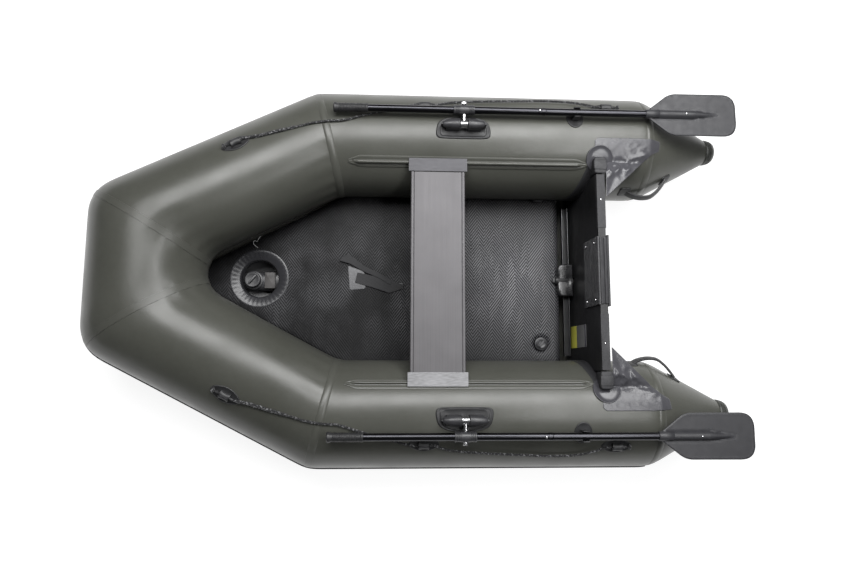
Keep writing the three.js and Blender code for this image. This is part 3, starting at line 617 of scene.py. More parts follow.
def braided():
    """Rope yarn: dark strands with lighter worn tops; the braid itself is in the mesh."""
    look = Look("rope_yarn", Roughness=0.8, Sheen_Weight=0.2)
    yarn = look.cells(900.0)
    look.shades(look.noise(150.0, 3), 0.52, 0.66, (0.006, 0.006, 0.007), (0.17, 0.17, 0.175))
    look.bump(yarn, 0.4, 0.7)
    return look.material


def painted_ply():
    """Black painted plywood: the grain shows faintly through the paint."""
    look = Look("painted_ply", Specular_IOR_Level=0.45)
    where = look.stretched(14, 3, 40)
    grain = look.noise(3.0, 6, where)
    look.shades(grain, 0.35, 0.7, (0.008, 0.008, 0.009), (0.017, 0.017, 0.018))
    look.gloss(look.noise(12.0, 5), 0.36, 0.52)
    look.bump(grain, 0.25, 0.5)
    look.bump(look.noise(300.0, 3), 0.1, 0.4)
    return look.material


def scuffed_plastic(name, dark, light, roughness):
    """Grey moulding with clamp and handling scuffs."""
    look = Look(name, Specular_IOR_Level=0.28)
    scuffs = look.noise(1.0, 7, look.stretched(30, 12, 30))
    fine = look.noise(160.0, 4)
    tone = look.math("MULTIPLY_ADD", fine, 0.4, look.math("MULTIPLY", scuffs, 0.8))
    look.shades(tone, 0.4, 0.78, dark, light)
    look.gloss(scuffs, roughness - 0.08, roughness + 0.1)
    look.bump(scuffs, 0.2, 0.4)
    look.bump(look.noise(900.0, 2), 0.08, 0.5)
    return look.material


def printed_film(name, color):
    """A printed label: slightly mottled satin film."""
    look = Look(name, Specular_IOR_Level=0.4)
    look.color(look.noise(70.0, 4), tuple(c * 0.82 for c in color), color)
    look.gloss(look.noise(40.0, 3), 0.4, 0.55)
    look.bump(look.noise(500.0, 2), 0.05, 0.4)
    return look.material


OLIVE = coated_cloth("olive_pvc", (0.050, 0.051, 0.043), (0.067, 0.068, 0.059), 0.33)
OLIVE_TAPE = coated_cloth("olive_tape", (0.053, 0.054, 0.046), (0.070, 0.071, 0.062), 0.35)
DARK_CLOTH = coated_cloth("dark_pvc", (0.022, 0.022, 0.024), (0.040, 0.040, 0.043), 0.34)
DECK = deck_cloth()
DECK_EDGE = coated_cloth("deck_edge", (0.014, 0.014, 0.016), (0.026, 0.026, 0.029), 0.30)
WEBBING = webbing_cloth("webbing", (0.010, 0.010, 0.011))
PATCH_CLOTH = coated_cloth("patch_cloth", (0.050, 0.050, 0.054), (0.080, 0.080, 0.085), 0.30)
RUBBER = moulded_plastic("black_rubber", (0.013, 0.013, 0.014), 0.52)
PLASTIC = moulded_plastic("black_plastic", (0.020, 0.020, 0.022), 0.40)
BLADE_PLASTIC = moulded_plastic("blade_plastic", (0.021, 0.021, 0.024), 0.50, 0.08, 1.12)
CAP_RUBBER = moulded_plastic("cap_rubber", (0.026, 0.027, 0.024), 0.42, 0.2, 1.9)
TAB_PLASTIC = moulded_plastic("tab_plastic", (0.040, 0.037, 0.036), 0.55, 0.1, 1.4)
TAG_PLASTIC = moulded_plastic("tag_plastic", (0.40, 0.40, 0.40), 0.40)
PLY = painted_ply()
GREY_PLASTIC = scuffed_plastic("grey_plastic", (0.016, 0.016, 0.018), (0.048, 0.048, 0.051), 0.50)
SEAT_METAL = brushed("seat_aluminium", (0.076, 0.073, 0.077), (0.116, 0.112, 0.117), 0.54, (500, 2.5, 60),
                     0.4)
# The seat's brackets are one brushed metal in a lighter and a darker copy: painted light on the port bracket,
# painted shade on the starboard one.
BRACKET_LIT = brushed("bracket_lit_copy", (0.15, 0.15, 0.154), (0.30, 0.30, 0.31), 0.48, (45, 260, 45),
                        0.4)
GUSSET_CLOTH = coated_cloth("gusset_cloth", (0.040, 0.040, 0.045), (0.078, 0.077, 0.085), 0.24)
TONGUE_CLOTH = coated_cloth("tongue_cloth", (0.020, 0.020, 0.022), (0.036, 0.036, 0.038), 0.40)
GLOSS_PLASTIC = moulded_plastic("gloss_plastic", (0.012, 0.012, 0.013), 0.20, 0.03)
LABEL_YELLOW = printed_film("label_yellow", (0.52, 0.50, 0.08))
LABEL_GREY = printed_film("label_grey", (0.17, 0.17, 0.17))
LABEL_DARK = printed_film("label_dark", (0.035, 0.03, 0.06))
BRACKET_SHADED = brushed("bracket_shaded_copy", (0.040, 0.040, 0.043), (0.062, 0.061, 0.066), 0.50, (45, 260, 45), 0.7)
BAR_METAL = brushed("bar_aluminium", (0.07, 0.07, 0.073), (0.17, 0.17, 0.175), 0.32, (900, 3, 900))
SHAFT_METAL = brushed("anodised_shaft", (0.022, 0.022, 0.025), (0.048, 0.048, 0.053), 0.27, (3, 800, 800))
STEEL = brushed("steel", (0.42, 0.42, 0.43), (0.68, 0.68, 0.69), 0.22, (60, 900, 60))
ROPE = braided()


# ---------------------------------------------------------------- camera, light and ground

# The camera, above the boat and a little to port of its middle, with the bow to the left: millimetres
# for its lens and sensor, metres for its place, and degrees for its turn.
SENSOR, LENS = 36, 27.272
CAMERA_PLACE = (0.0700, 0.3514, 2.5820)
CAMERA_TURN = (7.3718, -3.0387, -179.9072)
SKY_COLOR, SKY_STRENGTH = (0.95, 0.97, 1.0, 1), 0.08
FLOOR_REACH, FLOOR_DROP, FLOOR_GLOW = 12, 0.5 * MM, 0.88


def camera():
    data = bpy.data.cameras.new("camera")
    data.sensor_width, data.lens = SENSOR, LENS
    eye = bpy.data.objects.new("camera", data)
    eye.location = CAMERA_PLACE
    eye.rotation_euler = [radians(turn) for turn in CAMERA_TURN]
    bpy.context.scene.collection.objects.link(eye)
    bpy.context.scene.camera = eye


def softbox(name, place, size, power, aim, spin=0):
    """A rectangular lamp of this size and power in watts, aimed at a point and turned by `spin` degrees."""
    data = bpy.data.lights.new(name, "AREA")
    data.shape, data.size, data.size_y, data.energy = "RECTANGLE", size[0], size[1], power
    lamp = bpy.data.objects.new(name, data)
    lamp.location = place
    turn = (Vector(aim) - Vector(place)).to_track_quat("-Z", "Y").to_matrix()
    lamp.rotation_euler = (turn @ Matrix.Rotation(radians(spin), 3, "Z")).to_euler()
    lamp.visible_camera = False
    bpy.context.scene.collection.objects.link(lamp)


def lighting():
    """Two soft lamps above, one to starboard and one over the stern, under a faint sky."""
    softbox("key_light", (-0.35, -1.35, 3.0), (3.7, 1.3), 170, (-0.35, -0.3, 0.2), 13)
    softbox("overhead", (-1.4, 0.1, 3.2), (2.0, 0.6), 46, (-1.1, 0.1, 0))
    world = bpy.data.worlds.new("studio")
    world.use_nodes = True
    sky = world.node_tree.nodes["Background"].inputs
    sky["Color"].default_value, sky["Strength"].default_value = SKY_COLOR, SKY_STRENGTH
    bpy.context.scene.world = world
    bpy.context.scene.view_settings.view_transform = "Standard"


def ground():
    """A plain pale floor, dropped a hair below the boat."""
    look = Look("studio_floor", Roughness=0.9, Emission_Color=(1, 1, 1, 1), Emission_Strength=FLOOR_GLOW)
    look.color(look.noise(2.0, 2), (0.28, 0.28, 0.28), (0.31, 0.31, 0.31))
    mesh = bpy.data.meshes.new("studio_floor")
    corners = [(-1, -1), (1, -1), (1, 1), (-1, 1)]
    points = [(x * FLOOR_REACH, y * FLOOR_REACH, -FLOOR_DROP) for x, y in corners]
    mesh.from_pydata(points, [], [(0, 1, 2, 3)])
    mesh.materials.append(look.material)
    floor = bpy.data.objects.new("studio_floor", mesh)
    bpy.context.scene.collection.objects.link(floor)


# ---------------------------------------------------------------- grab lines

ROPE_R = 4 * MM
ROPE_LAY = 5.4 * MM  # how high the line's middle lies over the tube
EYE_LIFT = 9 * MM  # the same, where it passes through an eye
ROPE_STEP = 2.4 * MM
ROPE_FULL = 1.12  # how much the braid's crests stand out from the line's nominal radius
ROPE_RELIEF = 0.26
SPLICE = (75 * MM, 255 * MM)  # the stretch of the line that is doubled back on itself
# The eyes on each side: leg, place along it, and angle round the tube in degrees.
EYES = {"bow": (1, 315 * MM, 66), "mid": (0, 812 * MM, 61), "aft": (0, 158 * MM, 58)}
# The line's route: leg, millimetres along it, angle round the tube in degrees, and height over the tube.
ROPE_ROUTE = [(1, 352, 66, EYE_LIFT), (1, 315, 66, EYE_LIFT), (1, 278, 66.5, EYE_LIFT),
              (1, 235, 70, ROPE_LAY), (1, 170, 74, ROPE_LAY), (1, 100, 78.5, ROPE_LAY),
              (1, 45, 82, ROPE_LAY + 0.5 * MM), (0, 1148, 83.5, ROPE_LAY + 1.5 * MM),
              (0, 1095, 82, ROPE_LAY), (0, 1030, 76, ROPE_LAY), (0, 960, 70, ROPE_LAY),
              (0, 905, 65, ROPE_LAY + 1 * MM), (0, 850, 61, EYE_LIFT), (0, 812, 61, EYE_LIFT),
              (0, 774, 60.5, EYE_LIFT), (0, 725, 54.5, ROPE_LAY), (0, 622, 50.5, ROPE_LAY),
              (0, 485, 47.5, ROPE_LAY), (0, 375, 45.5, ROPE_LAY), (0, 290, 47, ROPE_LAY),
              (0, 235, 52, ROPE_LAY + 1 * MM), (0, 195, 57.5, EYE_LIFT), (0, 158, 58, EYE_LIFT),
              (0, 121, 58, EYE_LIFT)]


def braid(path, radius, sides=16, pitch=44 * MM):
    """A round braid: strands wound both ways, which pass over and under each other."""
    step = np.linalg.norm(path[1] - path[0])

    def ring(row, share):
        points = []
        turn = 2 * pi * row * step / pitch
        for a in around(sides):
            strand = cos(4 * a + 2 * turn) * cos(4 * a - 2 * turn)
            size = radius(share) * (1 - ROPE_RELIEF + ROPE_RELIEF * strand)
            points.append((size * cos(a), size * sin(a)))
        return points

    return sweep(path, ring)


def knot(place):
    """An overhand knot pulled tight: a trefoil of rope."""
    turns, size = around(72), 6.5 * MM
    loop = np.stack([(np.sin(turns) + 2 * np.sin(2 * turns)) * size / 3,
                     (np.cos(turns) - 2 * np.cos(2 * turns)) * size / 3,
                     -np.sin(3 * turns) * size / 3.2], axis=1)
    side = np.array((0, 0, 1.0))
    ring = ellipse(1.8 * ROPE_R, 1.8 * ROPE_R, 12)
    rings = []
    for k, point in enumerate(loop):
        tangent = loop[(k + 1) % len(loop)] - loop[k - 1]
        tangent /= np.linalg.norm(tangent)
        out = np.cross(tangent, side)
        out /= np.linalg.norm(out)
        up = np.cross(out, tangent)
        rings.append([point + out * u + up * v for u, v in ring])
    return placed(loft(rings, wrap=True), place @ Matrix.Rotation(radians(90), 4, "Y"))


def grab_lines():
    """A line on each side through three eyes, knotted at both ends and spliced near the bow."""
    points = [tuple(on_tube(leg, along * MM, angle, lift).translation)
              for leg, along, angle, lift in ROPE_ROUTE]
    path = smooth_path(points, ROPE_STEP)
    line = braid(path, lambda share: ROPE_R * ROPE_FULL)
    ends = joined(knot(on_tube(1, 356 * MM, 66, EYE_LIFT)), knot(on_tube(0, 115 * MM, 58, EYE_LIFT)))
    first, last = (int(at / ROPE_STEP) for at in SPLICE)
    splice = braid(path[first:last],
                   lambda share: ROPE_R * (ROPE_FULL + 0.62 * sin(pi * share) ** 0.4), 20, 36 * MM)
    ropes = pair("rope", line, ROPE, "rope", replaces="{}_grab_line")
    ties = zip(pair("rope_end_knots", ends, ROPE, "rope"), pair("rope_splice", splice, ROPE, "rope"))
    for sign, rope, tied in zip((1, -1), ropes, ties):
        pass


# ---------------------------------------------------------------- the tubes' skin, seams and strake

SOFTEN = 24 * MM  # how widely air pressure rounds the bends
NOSE_SOFTEN = 1.3  # how much more it rounds the two corners at the bow
HULL_ANGLES = [360 * k / 96 for k in range(96)]
CONE, SIDE, BOW_SIDE, NOSE_TUBE = 0, 1, 2, 3  # the stretches of the hull's lines, from the port cone on
TAPE = 14 * MM  # half the width of a seam tape
OFFSETS = np.linspace(-2.2, 2.2, 13) * SOFTEN
WEIGHTS = np.exp(-(OFFSETS / SOFTEN) ** 2 / 2)
WEIGHTS /= WEIGHTS.sum()


def hull_keys(angle):
    """Where the hull's line at this angle starts, crosses each seam and ends, and each stretch's outside."""
    out = on_tube(0, 0, angle).to_3x3().col[2]
    first, last = direction(0), direction(LEG_COUNT - 1)
    keys = [AXIS[0] - first * CONE_LENGTH + out * CONE_END_R, AXIS[0] + out * TUBE_R]
    outs = [out, out]
    for leg in range(1, LEG_COUNT):
        before, after = direction(leg - 1), direction(leg)
        normal = (before + after).normalized()
        here = AXIS[leg] + out * TUBE_R
        crossing = here - before * ((here - AXIS[leg]).dot(normal) / before.dot(normal))
        keys.append(crossing)
        across = crossing - AXIS[leg]
        out = (across - after * across.dot(after)).normalized()
        outs.append(out)
    keys += [AXIS[-1] + out * TUBE_R, AXIS[-1] + last * CONE_LENGTH + out * CONE_END_R]
    return np.array(keys), np.array([*outs, out])


def hull_line(angle, stations, lift):
    """Points on the hull at this angle. A station is (stretch, share of it, how far past that)."""
    keys, outs = hull_keys(angle)
    at = np.concatenate([[0], np.cumsum(np.linalg.norm(np.diff(keys, axis=0), axis=1))])
    places = np.array([at[k] + share * (at[k + 1] - at[k]) + past for k, share, past in stations])
    corners = sum(np.exp(-((places - at[key]) / (120 * MM)) ** 2) for key in (NOSE, LEG_COUNT + 1 - BEND))
    samples = places[:, None] + OFFSETS[None, :] * (1 + NOSE_SOFTEN * corners)[:, None]
    grown = np.array([2 * keys[0] - keys[1], *keys, 2 * keys[-1] - keys[-2]])
    grown_at = np.array([-at[1], *at, 2 * at[-1] - at[-2]])
    points = np.stack([np.interp(samples, grown_at, grown[:, k]) for k in range(3)], axis=-1)
    stretch = np.clip(np.searchsorted(at, samples) - 1, 0, len(outs) - 1)
    out = (outs[stretch] * WEIGHTS[None, :, None]).sum(1)
    out /= np.linalg.norm(out, axis=1)[:, None]
    return (points * WEIGHTS[None, :, None]).sum(1) + out * np.reshape(lift, (-1, 1))


def hull_rows(stretch, count):
    """Stations along one stretch, close together at its two ends."""
    return [(stretch, (1 - cos(pi * k / count)) / 2, 0.0) for k in range(count + 1)]


def puckers(angle, stations):
    """Small creases that the cloth draws up beside the bends, on their inner side."""
    inner = max(0.0, -cos(radians(angle))) ** 0.5 + 0.25
    heights = []
    for stretch, share, _ in stations:
        near = min(share, 1 - share) * (9 if stretch == SIDE else 6)
        heights.append(0.9 * MM * inner * exp(-near ** 2) * cos(radians(angle) * 22))
    return np.array(heights)


def hull_skin(rows):
    lines = [hull_line(a, rows, puckers(a, rows) if rows[0][0] != CONE else 0.0) for a in HULL_ANGLES]
    return loft(np.array(lines).transpose(1, 0, 2))


def seam_tape(stretch):
    """A strip glued over the seam where a stretch starts, with rounded edges."""
    half, thick = TAPE, (1.4 if stretch == NOSE_TUBE else 0.5 if stretch == SIDE else 0.9) * MM
    profile = [(-half, 0), (-half * 0.96, thick), (0, thick), (half * 0.96, thick), (half, 0),
               (half * 0.5, -thick), (-half * 0.5, -thick)]
    rings = [[hull_line(a, [(stretch, 0, past)], lift)[0] for a in HULL_ANGLES] for past, lift in profile]
    return loft(rings, wrap=True)


def strake_band():
    """The ribbed rubbing strip, all round the outside of the tubes."""
    profile = both_ways([(-4.8, 0.0), (-4.7, 3.2), (-4.1, 4.6), (-2.6, 5.0), (-1.9, 3.6), (-0.9, 3.6),
                         (-0.6, 5.7)])
    stations = [(SIDE, 0, 6 * MM)]
    for stretch, count in ((SIDE, 40), (BOW_SIDE, 34), (NOSE_TUBE, 24), (4, 34), (5, 40)):
        rows = hull_rows(stretch, count)
        stations += rows[2 if stretch == SIDE else 1:-2 if stretch == 5 else None]
    stations.append((5, 1, -6 * MM))
    lines = [hull_line(angle, stations, lift * MM) for angle, lift in profile]
    return loft(np.array(lines).transpose(1, 0, 2))


def cone_cap():
    """The moulded cap that closes a stern cone: a rim, three grip rings and a blunt tip."""
    base = (CONE_CAP[1].x - CONE_CAP[0].x) / MM
    r = CONE_END_R / MM
    profile = [(0, 0), (r + 1.6, 0), (r + 2, 1.5), (r + 2, 6), (r, 8)]
    for k in range(3):
        start = 10 + 5.5 * k
        narrow = 1.6 * k + 0.6
        profile += [(r - narrow, start), (r - narrow + 1.2, start + 1.3), (r - narrow, start + 3)]
    profile += [(r - 6, 28), (r - 10, base - 7), (r - 17, base - 2.5), (r - 28, base - 0.3), (0, base)]
    turned = lathe([(radius, -along) for radius, along in profile], 56, "X")
    return shifted(metres(turned), CONE_CAP[1].x, TUBE_Y, TUBE_R)


def hull():
    """The tubes' skins, the tapes over their seams, the rubbing strip and the stern caps."""
    side = hull_rows(CONE, 22)[:-1] + hull_rows(SIDE, 64)
    pair("side_tube_skin", hull_skin(side), OLIVE, "olive_pvc", replaces="{}_side_tube", sharp=60)
    pair("bow_tube_skin", hull_skin(hull_rows(BOW_SIDE, 48)), OLIVE, "olive_pvc",
         replaces="{}_bow_tube", sharp=60)
    piece("bow_tube_skin", hull_skin(hull_rows(NOSE_TUBE, 36)), OLIVE, "olive_pvc", replaces="bow_tube",
          sharp=60)
    for name, stretch in (("cone_seam", SIDE), ("bend_seam", BOW_SIDE), ("nose_seam", NOSE_TUBE)):
        pair(name, seam_tape(stretch), OLIVE_TAPE, "olive_pvc", sharp=60)
    piece("rubbing_strip", strake_band(), RUBBER, "black_rubber", replaces="rubbing_strake")
    pair("cone_cap_moulding", cone_cap(), CAP_RUBBER, "black_rubber", replaces="{}_cone_cap")


# ---------------------------------------------------------------- bottom, keel and air deck

DECK_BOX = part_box("floor_airdeck")
DECK_TOP = DECK_BOX[1].z
DECK_MIDDLE = (DECK_BOX[0].z + DECK_BOX[1].z) / 2
DECK_EDGE_R = 23 * MM
HOLE = (590 * MM, 78 * MM)  # the valve hole's place along the boat, and its radius


def cut_outlines(node, height):
    """The closed outlines where a level plane cuts a CAD node, the longest first."""
    build = bmesh.new()
    build.from_mesh(NODES[node].data)
    bmesh.ops.remove_doubles(build, verts=build.verts, dist=0.01 * MM)
    everything = build.verts[:] + build.edges[:] + build.faces[:]
    bmesh.ops.bisect_plane(build, geom=everything, plane_co=(0, 0, height), plane_no=(0, 0, 1),
                           clear_inner=True, clear_outer=True)
    left, loops = set(build.edges), []
    while left:
        edge = left.pop()
        start, here = edge.verts
        loop = [start]
        while here is not start:
            loop.append(here)
            edge = next(e for e in here.link_edges if e in left)
            left.discard(edge)
            here = edge.other_vert(here)
        flat = [(v.co.x, v.co.y) for v in loop]
        area = sum(a[0] * b[1] - b[0] * a[1] for a, b in zip(flat, flat[1:] + flat[:1]))
        loops.append(flat if area > 0 else flat[::-1])
    build.free()
    return sorted(loops, key=lambda loop: -np.ptp(np.array(loop)[:, 0]))


def air_deck():
    """The drop-stitch floor: round edges, and a top that is flat but for the pull of its threads."""
    outline, *holes = cut_outlines("floor_airdeck", DECK_MIDDLE)
    insets = [share * DECK_EDGE_R for share in (0.05, 0.17, 0.36, 0.62, 0.95)]
    flat, faces, distance = filled(outline, holes, 15 * MM, insets)
    drop = round_edge(distance, DECK_EDGE_R)
    ripple = 0.5 * MM * np.sin(flat[:, 0] * 31) * np.sin(flat[:, 1] * 37)
    top = DECK_TOP - 0.6 * MM - drop + ripple * (distance > DECK_EDGE_R)
    bottom = DECK_BOX[0].z + drop
    return slab(flat, faces, top, np.minimum(bottom, top - 0.5 * MM))


def ring_lip(x, r_in, r_out, low):
    """The soft edge of the valve hole: the deck dips towards it, puckers a little and rolls down its wall."""
    dish, roll, high = 9 * MM, 26 * MM, 1.0 * MM
    shoulder = r_in + 6 * MM
    profile = [(r_in + 2 * MM, low, 0), (r_in, DECK_TOP - roll - dish, 0)]
    profile += [(shoulder - (shoulder - r_in) * cos(t), DECK_TOP + high - dish - roll * (1 - sin(t)), 0)
                for t in np.linspace(0.1, pi / 2 * 0.85, 6)]
    profile += [(shoulder + (r_out - shoulder) * u, DECK_TOP + high - dish * (1 - u) ** 1.6, sin(pi * u))
                for u in np.linspace(0.04, 1, 12)]
    profile += [(r_out + 3 * MM, DECK_TOP + 0.2 * MM, 0), (r_out, DECK_TOP - 5 * MM, 0),
                (r_in + 8 * MM, low, 0)]
    rings = [[(r * cos(a), r * sin(a), z + 0.35 * MM * pucker * cos(36 * a))
              for a in around(180)] for r, z, pucker in profile]
    return shifted(loft(rings, wrap=True), x)


def keel_pod():
    """The air keel: a round-sided chamber that tapers to the bow."""
    lo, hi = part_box("air_keel")
    rings = []
    half, middle = (hi.y - lo.y) / 2, (hi.z + lo.z) / 2
    for t in np.linspace(0, 1, 36):
        x = lo.x + (hi.x - lo.x) * t
        wide = half * (0.6 + 0.38 * sin(pi * min(1, t * 1.15))) * min(1, (1 - t) * 6 + 0.3)
        low = middle - (hi.z - lo.z) / 2 * 0.86
        low += max(0.0, x - 0.6) ** 1.5 * 0.25
        height = hi.z - 1 * MM - low
        ring = []
        for a in around(32):
            u, v = cos(a), sin(a)
            ring.append((x, wide * np.sign(u) * abs(u) ** 0.7, low + height / 2 * (1 + v)))
        rings.append(ring)
    return loft(rings)


BOTTOM_THICK = 1.6 * MM


def bottom_section(x):
    """Half the bottom cloth's width at x, and how high its middle and its edge lie.

    The middle rises over the last 0.27 m to the bow, and the edge over the whole of the bow's sides.
    """
    part = min(1, max(0, (x + 36 * MM - BEND_X) / (NOSE_X - BEND_X)))
    keel = 3.6 * MM + 44 * MM * min(1, max(0, (x - 0.6) / 0.27)) ** 1.5
    return TUBE_Y - 78 * MM - (TUBE_Y - NOSE_Y) * part, keel, 16 * MM + 86 * MM * part


def bottom_height(x, y):
    half, keel, edge = bottom_section(x)
    return keel + (edge - keel) * abs(y / half) ** 1.4


def bottom_cloth():
    """The bottom's fabric: a shallow V that rises to the bow and meets the tubes' undersides."""
    lo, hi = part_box("bottom_sheet")
    rings = []
    for x in np.linspace(lo.x + 2 * MM, hi.x - 2 * MM, 48):
        half = bottom_section(x)[0]
        row = [(x, half * v, bottom_height(x, half * v)) for v in np.linspace(-1, 1, 33)]
        rings.append([(x, y, z + BOTTOM_THICK) for x, y, z in row] + row[::-1])
    return loft(rings)


def well_shade_disc(x, r):
    """A round black disc on the bottom cloth, below the valve hole: painted shade that keeps the well under
    the hole dark.
    """
    flat, faces, distance = filled(ellipse(2 * r, 2 * r, 64), (), 9 * MM, (1 * MM,))
    flat = flat + (x, 0)
    height = np.array([bottom_height(*p) for p in flat]) + BOTTOM_THICK
    return slab(flat, faces, height + 1.4 * MM - round_edge(distance, 0.8 * MM), height + 0.2 * MM)


def bottom():
    """The air deck with its valve hole, the air keel and the bottom cloth."""
    deck = piece("air_deck", air_deck(), DECK, "air_deck", replaces="floor_airdeck", sharp=60)
    piece("keel_hole_lip", ring_lip(HOLE[0], HOLE[1] - 10 * MM, HOLE[1] + 29 * MM, DECK_BOX[0].z + 6 * MM),
          DECK_EDGE, "air_deck", sharp=70)
    # Painted shade: a black disc under the valve hole darkens the well.
    piece("keel_well_shade_disc", well_shade_disc(HOLE[0], 105 * MM), TONGUE_CLOTH, "dark_pvc", sharp=60)
    pod = piece("keel_chamber", keel_pod(), DARK_CLOTH, "dark_pvc", replaces="air_keel", sharp=70)
    cloth = piece("bottom_cloth", bottom_cloth(), OLIVE, "olive_pvc", replaces="bottom_sheet", sharp=70)


# ---------------------------------------------------------------- valves, aft bar, drain and strap

def knurled(profile, ribs, depth):
    """A turned part with ribbed rows: profile holds (radius, height, share of the ribs' depth)."""
    rings = []
    for radius, height, share in profile:
        cut = [(a, radius - depth * share * (0.5 + 0.5 * cos(ribs * a))) for a in around(96)]
        rings.append([(r * cos(a), r * sin(a), height) for a, r in cut])
    return loft(rings)


def screw_cap(r, z0, z1, top):
    """A valve's screw cap: ribbed, dished on top, with a raised bar to turn it by."""
    rim = [(r - 1.2, z0, 0), (r, z0 + 1.2, 1), (r, z1 - 2.2, 1), (r - 1.8, z1 - 0.5, 0.3),
           (r - 4, z1, 0), (r * 0.7, z1 - 1.6, 0), (r * 0.3, z1 - 2, 0), (0.3, z1 - 2, 0)]
    bar = block((-r * 0.74, -3.2, z1 - 4), (r * 0.74, 3.2, top), 1.4)
    return joined(knurled(rim, 26, 1.3), bar)


def valve_seat(flange, neck, low, z, top):
    """The ring that a screw cap sits in, with a bevelled flange welded to the cloth."""
    return lathe([(0, low), (neck, low), (neck, z), (flange, z), (flange, z + 1.2), (flange - 1.5, z + 2.4),
                  (neck + 4, z + 3), (neck + 2.5, top - 1), (neck + 1, top), (0, top)], 64)


def screw_valve(name, cap_node, neck, flange_z):
    """A valve in the boat's bottom or deck, and its cap, which turns."""
    lo, hi = box_mm(name)
    cap_lo, cap_hi = box_mm(cap_node)
    middle, r = (lo + hi) / 2, (cap_hi.x - cap_lo.x) / 2
    seat = valve_seat((hi.x - lo.x) / 2, neck, lo.z, flange_z, cap_lo.z)
    piece(f"{name}_seat", metres(shifted(seat, middle.x, middle.y)), PLASTIC, "black_plastic", replaces=name)
    shape = screw_cap(r, cap_lo.z + 0.2, cap_hi.z - 6, cap_hi.z)
    turned = placed(shape, Matrix.Translation((middle.x, middle.y, 0)) @ Matrix.Rotation(0.9, 4, "Z"))
    piece(f"{cap_node}_moulding", metres(turned), PLASTIC, "black_plastic", body=cap_node, replaces=cap_node)


def tube_valves():
    """Low round valves on the tubes' inner sides, with ribbed caps."""
    flange, r, high = 22, 17, 8
    skirt = lathe([(0, 0.8), (flange, 0.8), (flange - 0.5, 2.4), (flange - 3, 3.4), (0, 3.6)], 56)
    cap = knurled([(r, 3, 0), (r, 3.6, 1), (r, 6.6, 1), (r - 1.6, high, 0.2),
                   (r - 5, high, 0), (r - 6, high - 1, 0), (0.2, high - 1.2, 0)], 24, 1)
    shape = metres(joined(skirt, cap))
    pair("tube_valve_cap", placed(shape, on_side(-470 * MM, 196)), PLASTIC, "black_plastic",
         replaces="{}_tube_valve")
    lean = Matrix.Rotation(radians(-114), 4, "Y")
    down = radians(24)
    place = Matrix.Translation((NOSE_X - TUBE_R * cos(down), 0, NOSE_Z - TUBE_R * sin(down))) @ lean
    piece("bow_valve_cap", placed(shape, place), PLASTIC, "black_plastic", replaces="bow_tube_valve")


def wavy(outline, base, thick, wave):
    """A thin strip of webbing or cloth lying flat, with rounded edges and a slight wave."""
    flat, faces, distance = filled(outline, (), 6 * MM, (0.5 * MM, 1.3 * MM))
    drop = round_edge(distance, thick / 2)
    rise = wave * (0.5 + 0.5 * np.sin(flat[:, 0] * 55 + flat[:, 1] * 23))
    return slab(flat, faces, base + thick - drop + rise, base + drop + rise)


def floor_fittings():
    """The straps that hold the pump or tank down, the keel valve's tab, and the deck's small tag."""
    z = DECK_TOP + 0.5 * MM
    upper = rounded([(0.293, -0.071), (0.256, -0.098), (0.196, -0.050), (0.128, -0.018), (0.088, 0.008),
                     (0.096, 0.022), (0.140, -0.004), (0.200, -0.030), (0.248, -0.058)], 6 * MM)
    lower = rounded([(0.230, 0.013), (0.221, -0.026), (0.150, -0.010), (0.086, 0.010), (0.040, 0.021),
                     (0.060, 0.040), (0.101, 0.052), (0.165, 0.031)], 5 * MM)
    patch = rounded([(0.258, -0.052), (0.250, 0.041), (0.190, 0.036), (0.196, -0.030)], 8 * MM)
    piece("strap_patch", wavy(patch, z - 0.4 * MM, 1.3 * MM, 0), PATCH_CLOTH, "dark_pvc", sharp=50)
    straps = joined(wavy(upper, z + 4.0 * MM, 2.0 * MM, 3.0 * MM),
                    wavy(lower, z + 2.0 * MM, 2.0 * MM, 2.4 * MM))
    piece("floor_straps", straps, WEBBING, "webbing", replaces="floor_strap", sharp=50)
    buckle = joined(block((0.046, 0.014, z + 0.5 * MM), (0.070, 0.036, z + 3.4 * MM), 1.2 * MM),
                    block((0.076, 0.011, z + 0.5 * MM), (0.082, 0.036, z + 3.6 * MM), 1 * MM))
    piece("strap_buckle", buckle, PLASTIC, "black_plastic")
    keel_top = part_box("air_keel")[1].z
    tab = block((0.538, -0.031, keel_top + 0.3 * MM), (0.579, 0.031, keel_top + 3.2 * MM), 1.2 * MM)
    piece("keel_valve_tab", tab, TAB_PLASTIC, "black_plastic")
    hook = [(0.599, -0.118), (0.609, -0.125), (0.616, -0.134), (0.613, -0.144), (0.602, -0.142),
            (0.597, -0.152), (0.590, -0.163)]
    path = smooth_path([(x, y, z + 1.2 * MM) for x, y in hook], 2 * MM)
    piece("deck_tag", rod(path, 1.1 * MM, 10), TAG_PLASTIC, "black_plastic")


def aft_bar():
    """The aluminium channel behind the deck, open at the top, with rolled lips."""
    lo, hi = box_mm("floor_aft_bar")
    wall, lip = 2.4, 1.1
    x0, x1, z0, z1 = lo.x, hi.x, lo.z, hi.z
    outline = [(x0, z0), (x1, z0), *arc(x1 - wall / 2, z1 - lip, wall / 2 + 0.2, 0, 180, 6),
               (x1 - wall, z1 - 3), (x1 - wall, z0 + wall), (x0 + wall, z0 + wall), (x0 + wall, z1 - 3),
               *arc(x0 + wall / 2, z1 - lip, wall / 2 + 0.2, 0, 180, 6)]
    piece("aft_bar_channel", metres(along_y(prism(outline, lo.y, hi.y))), BAR_METAL, "brushed_aluminium",
          replaces="floor_aft_bar")
    insert = block((x0 + wall + 0.5, lo.y + 2, z0 + wall + 0.3), (x1 - wall - 0.5, hi.y - 2, z1 - 7), 1.5)
    piece("aft_bar_insert", metres(insert), RUBBER, "black_rubber")


